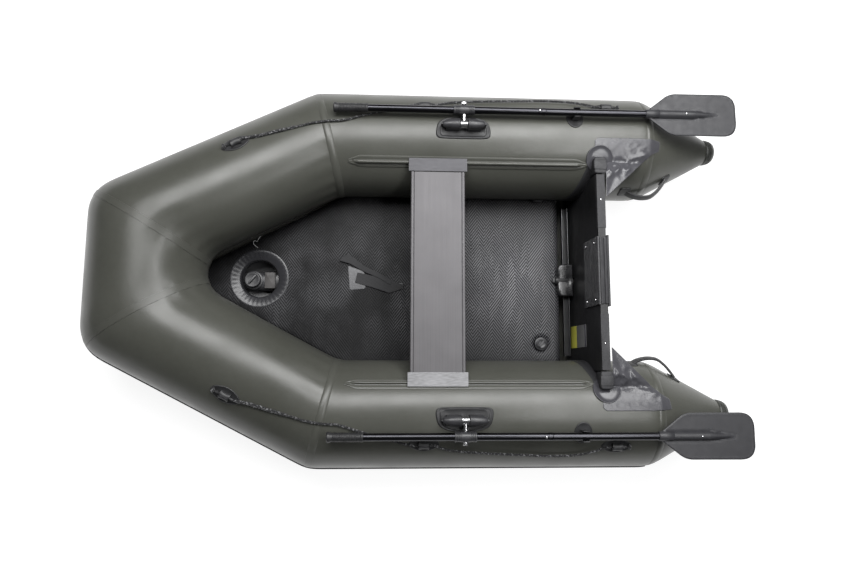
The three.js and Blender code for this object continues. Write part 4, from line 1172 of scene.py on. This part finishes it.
def drain():
    """The drain's housing over the aft bar, and its rubber plug, which pulls out to the bow."""
    lo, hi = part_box("drain_housing")
    middle, half, nose = (lo.z + hi.z) / 2, (hi.y - lo.y) / 2, 14 * MM
    plan = rounded([(lo.x, -half), (hi.x - 9 * MM, -half), (hi.x, -half + 16 * MM), (hi.x, half - 16 * MM),
                    (hi.x - 9 * MM, half), (lo.x, half)], [2 * MM, 9 * MM, 12 * MM, 12 * MM, 9 * MM, 2 * MM])
    flat, faces, distance = filled(plan, (), 5 * MM, (0.8 * MM, 2.2 * MM, 4 * MM, 6.5 * MM))
    dip = 3.5 * MM * np.exp(-((flat[:, 1]) / (22 * MM)) ** 2) * np.clip((flat[:, 0] - lo.x) / nose, 0, 1)
    top = hi.z - round_edge(distance, 7 * MM) - dip
    piece("drain_block", slab(flat, faces, top, np.full(len(flat), lo.z)), GLOSS_PLASTIC, "black_plastic",
          replaces="drain_housing", sharp=50)
    stopper = lathe([(0, -42), (10, -42), (11.8, -38), (11.8, -0.8), (14, -0.4), (14, 5), (12.5, 7), (9, 7),
                     (0, 6.5)], 40, "X")
    ears = block((4.5, -9, -3.6), (16.5, 9, 3.6), 2)
    whole = shifted(metres(joined(stopper, ears)), hi.x + 0.9 * MM, 0, middle + 1 * MM)
    piece("drain_stopper", whole, RUBBER, "black_rubber", body="drain_plug", replaces="drain_plug")


# ---------------------------------------------------------------- transom

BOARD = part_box("transom_board")
BOARD_LEAN = radians(4.7)
BOARD_THICK = 27  # in millimetres, as all of the parts on the board are
TRIM_ENDS = (150, 342)  # the stretch across the board that each grey trim covers
BOARD_TALL = (BOARD[1].z - BOARD[0].z) / cos(BOARD_LEAN)
BOARD_FRAME = Matrix.Translation((BOARD[1].x, 0, BOARD[0].z)) @ Matrix.Rotation(-BOARD_LEAN, 4, "Y")


def on_board(part):
    """From the board's own frame, in millimetres: X out of its front face, Z up it from its bottom edge."""
    return placed(metres(part), BOARD_FRAME)


def bolt_head(r, high):
    return lathe([(0, 0), (r, 0), (r, high * 0.4), (r * 0.86, high * 0.8), (r * 0.5, high), (0.3, high),
                  (0.2, high * 0.7)], 20)


def ribbed_pad(front, back, z0, z1, half):
    """A motor pad against the board: ribbed across on its outer face, from front to back in X."""
    way, rib = 1 if front > back else -1, 11
    outline = [(back, z0 + 2), (back, z1)]
    outline += [(front - way * 3, z1), (front, z1 - 3)]
    z = z1 - 8
    while z > z0 + rib:
        outline += [(front, z), (front - way * 1.6, z - 1), (front - way * 1.6, z - 2.6), (front, z - 3.6)]
        z -= rib
    outline += [(front, z0 + 3), (front - way * 3, z0)]
    return along_y(prism(outline, -half, half))


def transom():
    """The painted board with its edge trims, the two motor pads with their bolts, and the label."""
    dress("transom_board", PLY, 1.5)
    back, top = -BOARD_THICK, BOARD_TALL / MM
    wall, leg = 1.6, 15
    channel = [(wall, top - leg), (wall, top + wall), (back - wall, top + wall), (back - wall, top - leg),
               (back - 0.3, top - leg), (back - 0.3, top + 0.3), (0.3, top + 0.3), (0.3, top - leg)]
    trim = along_y(prism(channel, *TRIM_ENDS))
    pair("transom_trim", on_board(trim), GREY_PLASTIC, "grey_pad", bevel=0.6)
    bolt = shifted(bolt_head(2.8, 1.6), back * 0.45, 251, top + wall)
    pair("trim_bolt", on_board(bolt), STEEL, "steel")
    inner = box_mm("transom_inner_pad")
    rise = (inner[1].z - BOARD[0].z / MM) / cos(BOARD_LEAN) - 1.2
    for name, node, front, rear, tall, look, slot in (
            ("inner_motor_pad", "transom_inner_pad", 8, 0.4, 138, PLASTIC, "black_plastic"),
            ("outer_motor_pad", "transom_outer_pad", back - 9, back - 0.4, 218, GREY_PLASTIC, "grey_pad")):
        pad = ribbed_pad(front, rear, rise - tall, rise, box_mm(node)[1].y - 1)
        piece(name, on_board(pad), look, slot, replaces=node, bevel=0.5)
    half = inner[1].y - 4
    ridge = [block((x0, -half, top + 0.4), (x1, half, rise + 0.8), 1.2)
             for x0, x1 in ((back + 1, back + 10), (back + 12, -1))]
    piece("pad_top_ridges", on_board(joined(*ridge)), GREY_PLASTIC, "grey_pad")
    to_front = Matrix.Rotation(pi / 2, 4, "Y")
    bolts = [placed(bolt_head(5, 3), Matrix.Translation((8, y, rise - down)) @ to_front)
             for y in (-100, 100) for down in (30, 108)]
    piece("pad_bolts", on_board(joined(*bolts)), STEEL, "steel")
    label()


def label():
    """A blank plate on the board's front: a yellow band below a grey one."""
    for name, look, z0, z1, front in (("label_warning_band", LABEL_YELLOW, 62, 124, 1.1),
                                      ("label_plate", LABEL_GREY, 124.5, 207, 1.1),
                                      ("label_dark_band", LABEL_DARK, 207.5, 214, 1.3),
                                      ("label_edge_band", LABEL_GREY, 214.5, 220, 1.1)):
        outline = rounded([(176, z0), (258, z0), (258, z1), (176, z1)], 1.5, 3)
        piece(name, on_board(along_x(prism(outline, 0.3, front, 0.2))), look, "grey_pad")


# ---------------------------------------------------------------- transom holders and gusset cloth

def tube_top(x, y):
    """The height of a port tube's upper skin over a place, and far below ground where there's none."""
    r = TUBE_R - np.clip(STERN_X - x, 0, None) * (TUBE_R - CONE_END_R) / CONE_LENGTH
    under = r ** 2 - (y - TUBE_Y) ** 2
    return np.where(under > 0, TUBE_R + np.sqrt(np.maximum(under, 0)), -1.0)


def ridged(points, scale, seed):
    """Sharp creases in noise, from 0 to 1."""
    return np.array([1 - min(1, abs(noise.noise(Vector((x * scale, y * scale, seed)))) * 2.4)
                     for x, y in points])


def gusset_cloth():
    """One cut of cloth from the board's back edge, over the tube's shoulder and along the cone.

    Inboard it is a web stretched in the air, which sags and is creased along the shoulder. Outboard it is
    glued on the tube.
    """
    outline = rounded([(-0.662, 0.262), (-0.735, 0.330), (-0.812, 0.402), (-0.838, 0.425), (-0.868, 0.440),
                       (-0.872, 0.474), (-0.800, 0.479), (-0.640, 0.479), (-0.628, 0.470), (-0.628, 0.437),
                       (-0.656, 0.404), (-0.664, 0.345)], 4 * MM, 3)
    flat, faces, distance = filled(outline, (), 5.5 * MM, (0.7 * MM, 2.5 * MM))
    x, y = flat[:, 0], flat[:, 1]
    board_x, web_reach, web_top, shoulder_y = -0.655, 0.157, 0.381, 0.352
    along = np.clip((board_x - x) / web_reach, 0, 1)
    web = web_top - 0.026 * along - 0.56 * np.clip(y - shoulder_y - 0.035 * along, 0, None)
    sag = np.clip(np.minimum(distance, 0.05) / 0.05, 0, 1) * np.clip((0.40 - y) / 0.06, 0, 1)
    web -= 9 * MM * sag
    skin = tube_top(x, y) + 1.6 * MM
    fold = (np.exp(-((y - (shoulder_y + 0.055 * along)) / 0.026) ** 2)
            * np.clip((distance - 2 * MM) / 0.012, 0, 1))
    creases = ridged(flat, 24, 3.1) ** 2 * 12 * MM + ridged(flat, 55, 7.7) ** 2 * 4.5 * MM
    over = np.clip((y - 0.37) / 0.05, 0, 1)
    on_skin = skin + ridged(flat, 30, 1.3) ** 3 * 0.5 * MM * np.clip((distance - 3 * MM) / 0.02, 0, 1) * over
    top = np.maximum(web + creases * fold, on_skin + creases * fold * 0.5)
    drop = round_edge(distance, 0.7 * MM)
    return slab(flat, faces, top - drop, top - 1.5 * MM + drop)


def surface_patch(angles, spans, thick, ripple):
    """A patch glued on the side tube: for each angle round it, the stretch of X that it covers."""
    columns = 22
    outer, inner = [], []
    for a, (x0, x1) in zip(angles, spans):
        edge = min(a - angles[0], angles[-1] - a) * radians(1) * TUBE_R
        row_out, row_in = [], []
        for k in range(columns):
            x = x0 + (x1 - x0) * k / (columns - 1)
            near = min(edge, x - x0, x1 - x)
            lift = 0.3 * MM + thick * min(1, 0.25 + near / (1.5 * MM))
            lift += ripple * (0.5 + 0.5 * sin(k * 1.9 + a * 0.35)) * min(1, near / (8 * MM))
            row_out.append(tuple(on_side(x, a, lift).translation))
            row_in.append(tuple(on_side(x, a, -0.6 * MM).translation))
        outer.append(row_out)
        inner.append(row_in)
    return loft([over + under[::-1] for over, under in zip(outer, inner)])


def stern_fabric():
    """What joins the board to each tube: holder, collar, a tongue in front and the gusset behind."""
    cloths = pair("gusset_cloth", gusset_cloth(), GUSSET_CLOTH, "dark_pvc", replaces="{}_transom_gusset",
                  sharp=75)
    slope = tan(BOARD_LEAN)
    angles = np.linspace(121, 214, 34)
    spans = []
    for a in angles:
        z = TUBE_R * (1 + sin(radians(a)))
        face = BOARD[1].x - (z - BOARD[0].z) * slope
        flare = 12 * MM + 30 * MM * sin(radians((a - 121) * 1.4))
        flare += 60 * MM * max(0, (a - 175) / 40) ** 1.4
        spans.append((face - 52 * MM, face + flare))
    pair("transom_tongue", surface_patch(angles, spans, 2 * MM, 0.5 * MM), TONGUE_CLOTH, "dark_pvc", sharp=60)
    collar = moulded(ellipse(96, 96, 56), [(1, 0.2), (1, 4.6), (0.985, 5.6), (0.955, 5.8), (0.93, 4.4),
                                           (0.6, 4.9), (0.05, 5.6)])
    pair("transom_collar", placed(collar, on_side(-648 * MM, 117.5)), GUSSET_CLOTH, "dark_pvc", sharp=60)
    holder = joined(block((-21 * MM, -41 * MM, -50 * MM), (21 * MM, 18 * MM, 8 * MM), 4 * MM),
                    block((-23 * MM, -28 * MM, -6 * MM), (23 * MM, 8 * MM, 10 * MM), 3 * MM))
    stand = Matrix.Translation((-0.6425, 0.388, 0.3765))
    pair("transom_holder", placed(holder, stand), GREY_PLASTIC, "grey_pad", bevel=0.8)


# ---------------------------------------------------------------- seat

def seat_profile():
    """The aluminium board's section: a flat box with a bead and a groove along each edge."""
    lo, hi = box_mm("seat_board")
    x0, x1, z0, z1 = lo.x, hi.x, lo.z, hi.z
    r = 4
    top = [(x1 - 13, z1 - 0.9), (x1 - 11, z1 - 2.2), (x1 - 9.5, z1 - 0.4), (x1 - 6.5, z1)]
    left = [((x0 + x1) - x, z) for x, z in top][::-1]
    under = [(x0 + 30, z0), (x0 + 33, z0 + 2), (x1 - 33, z0 + 2), (x1 - 30, z0)]
    return [*arc(x0 + r, z0 + r, r, 180, 270, 5), *under, *arc(x1 - r, z0 + r, r, 270, 360, 5),
            *arc(x1 - r, z1 - r, r, 0, 90, 5), *top[::-1], *left[::-1], *arc(x0 + r, z1 - r, r, 90, 180, 5)]


def seat():
    """The seat board and the bracket at each end. The brackets are one metal in two copies: the port one is
    lighter, which is painted light, and the starboard one is darker, which is painted shade.
    """
    lo, hi = box_mm("seat_board")
    piece("seat_plank", metres(along_y(prism(seat_profile(), lo.y, hi.y))), SEAT_METAL, "brushed_aluminium",
          body="seat", replaces="seat_board", sharp=30)
    b_lo, b_hi = box_mm("port_seat_bracket")
    top, wall = hi.z + 0.4, 1.3
    outer = b_hi.y
    section = [(b_lo.y, top), (b_lo.y, top + 2.2), (b_lo.y + 0.8, top + 3),
               (outer - 1.5, top + 3), (outer, top + 1.5), (outer, b_lo.z + 12.5),
               (outer - 3, b_lo.z + 12.5), (outer - 3, top - wall), (hi.y + 5, top - wall),
               (hi.y + 5, b_lo.z), (hi.y + 0.4, b_lo.z), (hi.y + 0.4, top)]
    bracket = metres(along_x(prism(section, b_lo.x, b_hi.x)))
    # The port bracket gets the lighter copy (painted light) and the starboard bracket the darker copy
    # (painted shade).
    looks = {"port": BRACKET_LIT, "starboard": BRACKET_SHADED}
    for side, sign in SIDES:
        part = bracket if sign > 0 else mirrored(bracket)
        piece(f"{side}_seat_hanger", part, looks[side], "brushed_aluminium", body="seat",
              replaces=f"{side}_seat_bracket", bevel=0.5)


def seat_rail():
    """A welded strip with pointed ends, ridged along, that stands up in the bead the seat slides on."""
    lo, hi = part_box("port_seat_rail")
    length = (hi.x - lo.x) / MM
    section = both_ways([(-1, 0.2), (-0.97, 2.2), (-0.86, 3.0), (-0.55, 3.1), (-0.47, 2.3), (-0.36, 2.4),
                         (-0.17, 3.0), (-0.10, 4.2), (-0.20, 6.0), (-0.235, 8.0), (-0.17, 10.6)], [(0, 11.8)])
    rings = []
    for t in np.linspace(0, 1, 90):
        x = (t - 0.5) * length
        near = min(t, 1 - t) * length
        half = 21 * min(1, 0.3 + near / 40 * 0.7)
        bead = min(1, max(0, near - 22) / 10) ** 0.5
        ring = []
        for y, z in section:
            raised = z if z <= 3.2 else 3 + (z - 3) * bead
            across = y * (half if abs(y) > 0.3 else 21)
            ring.append((x, across, raised))
        rings.append(ring)
    return placed(bent(metres(loft(rings))), on_side((lo.x + hi.x) / 2, 124.6))


# ---------------------------------------------------------------- oarlocks and oars

LOCK_X = -158 * MM
LOCK_Y = 508 * MM
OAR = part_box("port_oar_inner_shaft")
OAR_Y = (OAR[0].y + OAR[1].y) / 2
OAR_Z = (OAR[0].z + OAR[1].z) / 2
SHAFT_R = (OAR[1].z - OAR[0].z) / 2 / MM  # in millimetres, as the mouldings on it are
LOCK_ANGLE = degrees(acos((LOCK_Y - TUBE_Y) / TUBE_R))


def on_oar(part):
    return shifted(part, 0, OAR_Y, OAR_Z)


def lock_pad():
    """The oarlock's rubber pad: straight outboard, bowed inboard, with a doubled lip."""
    outline = rounded([(96, -40), (97, -10), (86, 22), (50, 36), (0, 42), (-50, 36), (-86, 22), (-97, -10),
                       (-96, -40), (-60, -43), (60, -43)], [16, 20, 18, 30, 30, 30, 18, 20, 16, 30, 30])
    rows = [(1, 0.2), (1, 1.8), (0.985, 3.4), (0.955, 4.4), (0.93, 4.2), (0.905, 2.8), (0.86, 2.8),
            (0.84, 4.6), (0.81, 5.2), (0.78, 4.4), (0.75, 3.4), (0.4, 3.6), (0.03, 3.8)]
    return placed(moulded(outline, rows), on_side(LOCK_X, LOCK_ANGLE))


def lock_cones():
    """Two blunt cones, end to end, that hold the swivel between them."""
    turned = lathe([(5.6, 13.6), (19, 13.6), (20, 14.8), (20, 19), (19, 20), (18.6, 30), (15.5, 52),
                    (12.5, 68), (9.5, 73), (4, 74.5), (4, 74.2), (0.2, 74.2), (0.2, 24), (5.6, 24)],
                   40, "X")
    foot = along_x(prism(rounded([(-19, -22), (19, -22), (14, 0), (-14, 0)], 3), 14, 62, 2))
    fin = block((16, -2.2, -22), (80, 2.2, 5), 1.5)
    one = joined(turned, foot, fin)
    other = placed(one, Matrix.Rotation(pi, 4, "Z"))
    return shifted(metres(joined(one, other)), LOCK_X, LOCK_Y, OAR_Z)


def swivel():
    """Steel barrel and axle in the cones, and the pin through the oar with its washer and nut."""
    barrel = lathe(there_and_back([(0, -25), (4.2, -25), (5, -24), (5, -12.8), (13.6, -12.8), (15, -11.4),
                                   (15, -8), (13.4, -6)]), 40, "X")
    reach = (OAR_Y - LOCK_Y) / MM
    nut = reach + 19.5
    pin = lathe([(0, 0), (7.5, 8), (7.5, 26), (9.5, 27), (9.5, 31), (5, 32), (5, reach + 25),
                 (4, reach + 26), (0, reach + 26)], 32, "Y")
    washer = lathe([(5, nut - 1.4), (10, nut - 1.4), (10, nut), (5, nut)], 32, "Y")
    hexagon = along_y(prism([(9 * cos(radians(60 * k)), 9 * sin(radians(60 * k)))
                             for k in range(6)], nut + 0.1, nut + 8.5, 0.8))
    return shifted(metres(joined(barrel, pin, washer, hexagon)), LOCK_X, LOCK_Y, OAR_Z)


def oar_collar():
    """The plastic sleeve that the pin passes through, ribbed round both ends."""
    half, r = 36.5, 17.5
    profile = [(SHAFT_R + 0.5, -half), (r - 1.5, -half), (r, -half + 1.5)]
    for k in range(3):
        start = -half + 5 + 6 * k
        profile += [(r, start), (r - 1.6, start + 1), (r - 1.6, start + 3), (r, start + 4)]
    return on_oar(shifted(metres(lathe(there_and_back(profile), 40, "X")), LOCK_X))


def pipe(x0, x1, outer, inner, lip=0.8):
    profile = [(inner, x0), (outer - lip, x0), (outer, x0 + lip), (outer, x1 - lip), (outer - lip, x1),
               (inner, x1)]
    rings = lathe(profile, 40, "X")[0].reshape(-1, 40, 3)
    return loft(rings, wrap=True)


def oar_grip():
    """A rubber grip with fine rings and a swollen end."""
    x0, x1, r = 176, 296, 15
    profile = [(SHAFT_R + 0.5, x0), (r - 1, x0), (r + 1, x0 + 1.2), (r + 1, x0 + 6)]
    x = x0 + 8
    while x < x1 - 20:
        profile += [(r - 0.7, x), (r + 0.9, x + 1.2), (r + 0.9, x + 2.8), (r - 0.7, x + 4)]
        x += 5.2
    profile += [(r + 0.5, x1 - 13), (r + 3, x1 - 9), (r + 3, x1 - 4), (r, x1 - 0.6), (r * 0.5, x1), (0, x1)]
    return on_oar(metres(lathe(profile, 40, "X")))


def oar_blade():
    """A moulded blade: cut-off corners at the neck, rounded tip, and a sleeve that fades out as a spine."""
    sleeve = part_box("port_oar_blade")
    tip, half = sleeve[0].x, (sleeve[1].y - sleeve[0].y) / 2
    neck, shoulder, full, fade = -811 * MM, -893 * MM, -975 * MM, -1070 * MM
    outline = rounded([(neck, -13 * MM), (neck, 13 * MM), (shoulder, half - 1 * MM), (tip, half),
                       (tip, -half), (shoulder, -half + 1 * MM)],
                      [1 * MM, 1 * MM, 26 * MM, 52 * MM, 52 * MM, 26 * MM], 9)
    flat, faces, distance = filled(outline, (), 4.5 * MM, (0.6 * MM, 1.7 * MM))
    x, y = flat[:, 0], flat[:, 1]
    body = 2.5 * MM - round_edge(distance, 2.5 * MM)
    rim = 0.7 * MM * np.exp(-((distance - 5 * MM) / (1.8 * MM)) ** 2)
    fade_at = np.clip((x - fade) / (full - fade), 0, 1)
    spine_r = 14.5 * MM * fade_at ** 0.75
    spine = np.sqrt(np.maximum(spine_r ** 2 - y ** 2, 0))
    groove = 1.2 * MM * np.exp(-((np.abs(y) - spine_r - 3 * MM) / (2.2 * MM)) ** 2) * (fade_at > 0)
    high = np.maximum(body + rim - groove * (distance > 6 * MM), spine)
    plate = slab(flat, faces, high, -np.maximum(body + rim, spine * 0.8))
    hose = metres(pipe(-853, -803, 16, SHAFT_R + 0.5, 1.2))
    rivet = metres(shifted(bolt_head(3.2, 1.6), -948, 0, 14.2))
    return on_oar(joined(plate, hose)), on_oar(rivet)


def clip():
    """A rubber pad with two prongs that the shaft drops between."""
    x, play, wall = -559 * MM, 1.2, 5
    pad = placed(moulded(ellipse(62, 76, 48), [(1, 0.2), (1, 1.6), (0.97, 3.2), (0.9, 3.9), (0.84, 2.6),
                                (0.4, 2.9), (0.03, 3)]), on_side(x, 73))
    prongs = []
    for way in (-1, 1):
        near, far = way * (SHAFT_R + play), way * (SHAFT_R + play + wall)
        low = -50 if way > 0 else -33
        section = [(near, low), (near, 5), (near + way * 0.5, 8.2), (near + way * 2.5, 9),
                   (far - way * 0.8, 7), (far, 3), (far, low)]
        prongs.append(on_oar(shifted(metres(along_x(prism(section, -11, 11))), x)))
    return joined(pad, *prongs)


def oars():
    """Both oars as stowed, their oarlocks and the clips that they rest in."""
    pair("oarlock_pad", lock_pad(), RUBBER, "black_plastic", replaces="{}_oarlock_base", sharp=50)
    pair("oarlock_cones", lock_cones(), PLASTIC, "black_plastic")
    pair("oarlock_pin", swivel(), STEEL, "steel", body="{}_oarlock", replaces="{}_oarlock_swivel")
    inner_lo, inner_hi = box_mm("port_oar_inner_shaft")
    outer_lo, outer_hi = box_mm("port_oar_outer_shaft")
    joint, hollow, spigot = inner_lo.x, SHAFT_R - 1.4, 8
    front = joined(pipe(joint, inner_hi.x, SHAFT_R, hollow),
                   pipe(joint + 0.4, joint + 14, SHAFT_R + 0.7, hollow))
    rear = joined(pipe(outer_lo.x, joint - 0.4, SHAFT_R, spigot),
                  pipe(joint - 2, outer_hi.x, hollow - 0.4, spigot))
    blade, rivet = oar_blade()
    for name, part, look, slot, node, sharp in (
            ("oar_sleeve", oar_collar(), PLASTIC, "black_plastic", "collar", 38),
            ("oar_front_shaft", on_oar(metres(front)), SHAFT_METAL, "black_aluminium", "inner_shaft", 38),
            ("oar_rear_shaft", on_oar(metres(rear)), SHAFT_METAL, "black_aluminium", "outer_shaft", 38),
            ("oar_handle", oar_grip(), RUBBER, "black_rubber", "grip", 38),
            ("oar_blade_moulding", blade, BLADE_PLASTIC, "black_plastic", "blade", 45)):
        pair(name, part, look, slot, body="{}_oar", replaces="{}_oar_" + node, sharp=sharp)
    pair("oar_blade_rivet", rivet, STEEL, "steel", body="{}_oar")
    lo, hi = box_mm("port_oar_button")
    middle = (lo + hi) / 2
    r = (hi.x - lo.x) / 2
    dome = lathe([(0, lo.z), (r, lo.z), (r, hi.z - 1.8), (r * 0.8, hi.z - 0.6), (r * 0.4, hi.z),
                  (0.1, hi.z)], 24)
    pair("spring_button", metres(shifted(dome, middle.x, middle.y)), STEEL, "steel", body="{}_oar_button",
         replaces="{}_oar_button")
    pair("oar_rest", clip(), RUBBER, "black_rubber", replaces="{}_oar_clip", bevel=0.7)


# ---------------------------------------------------------------- rope eyes and stern handles

def rope_eye():
    """A moulded eye: a lens-shaped pad with a rim, and a hoop over the rope with a grey bar on top, which is
    a painted highlight along the hoop's crest.
    """
    lens = [(x, y * (0.82 + 0.18 * cos(pi * x / 104))) for x, y in ellipse(104, 56, 56)]
    pad = moulded(lens, [(1, 0.2), (1, 1.4), (0.97, 2.8), (0.92, 3.4), (0.87, 2.2), (0.5, 2.8), (0.03, 3)])
    high, opening = 20, 6.3
    rings = []
    for t in np.linspace(-1, 1, 15):
        flare = 1 + 0.22 * t ** 2
        outer = [(12.6 * flare * cos(a), 7 + (high - 7) * (1 - 0.10 * t ** 2) * sin(a))
                 for a in np.linspace(-0.42, pi + 0.42, 26)]
        rings.append([(17 * t, y, max(z, 0.5)) for y, z in outer])
    hoop = loft(rings)
    mouth = [lathe([(opening + 3.4, x), (opening + 3.8, x + way * 1.4),
                    (opening + 1.6, x + way * 1.8), (opening, x + way * 0.4),
                    (opening, x - way * 1)], 32, "X") for way, x in ((1, 16.6), (-1, -16.6))]
    # Painted highlight: a grey bar along the crest of the black hoop.
    bar = block((-13, -3, high - 2.4), (13, 3, high - 0.2), 1)
    return joined(pad, metres(hoop)), shifted(metres(joined(*mouth)), 0, 0, EYE_LIFT), metres(bar)


# Where the handle's two feet are glued: the place along the boat, and the angle round the tube.
HANDLE_FORE, HANDLE_AFT = (-772 * MM, 161), (-930 * MM, 157)


def stern_handle():
    """A strap that stands off the tube's inner side, glued down at both ends."""
    z = 0.250
    route = [(-0.770, 0.322), (-0.782, 0.314), (-0.800, 0.3055), (-0.825, 0.2995), (-0.850, 0.2985),
             (-0.874, 0.304), (-0.898, 0.323), (-0.916, 0.345), (-0.930, 0.366)]
    path = smooth_path([(x, y, z - 6 * MM * sin(pi * k / 8)) for k, (x, y) in enumerate(route)], 4 * MM)
    section = [(4.4 * MM * np.sign(cos(a)) * abs(cos(a)) ** 0.6,
                12.5 * MM * np.sign(sin(a)) * abs(sin(a)) ** 0.35) for a in around(28)]
    tilt = radians(22)
    turned = [(u * cos(tilt) - v * sin(tilt), u * sin(tilt) + v * cos(tilt)) for u, v in section]
    band = sweep(path, lambda row, share: turned)
    foot = [(1, 0.2), (1, 2), (0.96, 3.2), (0.85, 3.6), (0.03, 4.4)]
    fore = placed(moulded(oblong(42, 50, 9), foot), on_side(*HANDLE_FORE))
    slope = (TUBE_R - CONE_END_R) / CONE_LENGTH
    shrink = (STERN_X - HANDLE_AFT[0]) * slope
    stand = on_side(*HANDLE_AFT)
    out = stand.to_3x3().col[2]
    normal = (out - Vector((1, 0, 0)) * slope).normalized()
    forward = (Vector((1, 0, 0)) + out * slope).normalized()
    turn = Matrix((forward, normal.cross(forward), normal)).transposed().to_4x4()
    place = Matrix.Translation(stand.translation - out * shrink) @ turn
    aft = placed(moulded(oblong(40, 46, 9), foot, TUBE_R - shrink), place)
    return joined(band, fore, aft)


def fittings():
    """The rope eyes, the stern handles and the rails that the seat slides on."""
    body, mouths, bar = rope_eye()
    for name, (leg, along, angle) in EYES.items():
        at = on_tube(leg, along, angle)
        pair(f"{name}_eye_pad", placed(body, at), RUBBER, "black_rubber", replaces="{}_" + name + "_rope_eye",
             sharp=50)
        pair(f"{name}_eye_mouths", placed(mouths, at), GLOSS_PLASTIC, "black_rubber")
        # The grey bar is a painted highlight on the black rubber hoop.
        pair(f"{name}_eye_bar", placed(bar, at), GREY_PLASTIC, "black_rubber")
    pair("lift_strap", stern_handle(), RUBBER, "black_rubber", replaces="{}_stern_handle", sharp=50)
    pair("slide_rail", seat_rail(), OLIVE_TAPE, "olive_pvc", replaces="{}_seat_rail", sharp=50)


camera()
lighting()
ground()
grab_lines()
hull()
bottom()
screw_valve("keel_valve", "keel_valve_cap", 26, box_mm("keel_valve")[0].z + 0.4)
screw_valve("floor_valve", "floor_valve_cap", 20, DECK_TOP / MM + 0.4)
tube_valves()
floor_fittings()
aft_bar()
drain()
transom()
stern_fabric()
seat()
oars()
fittings()
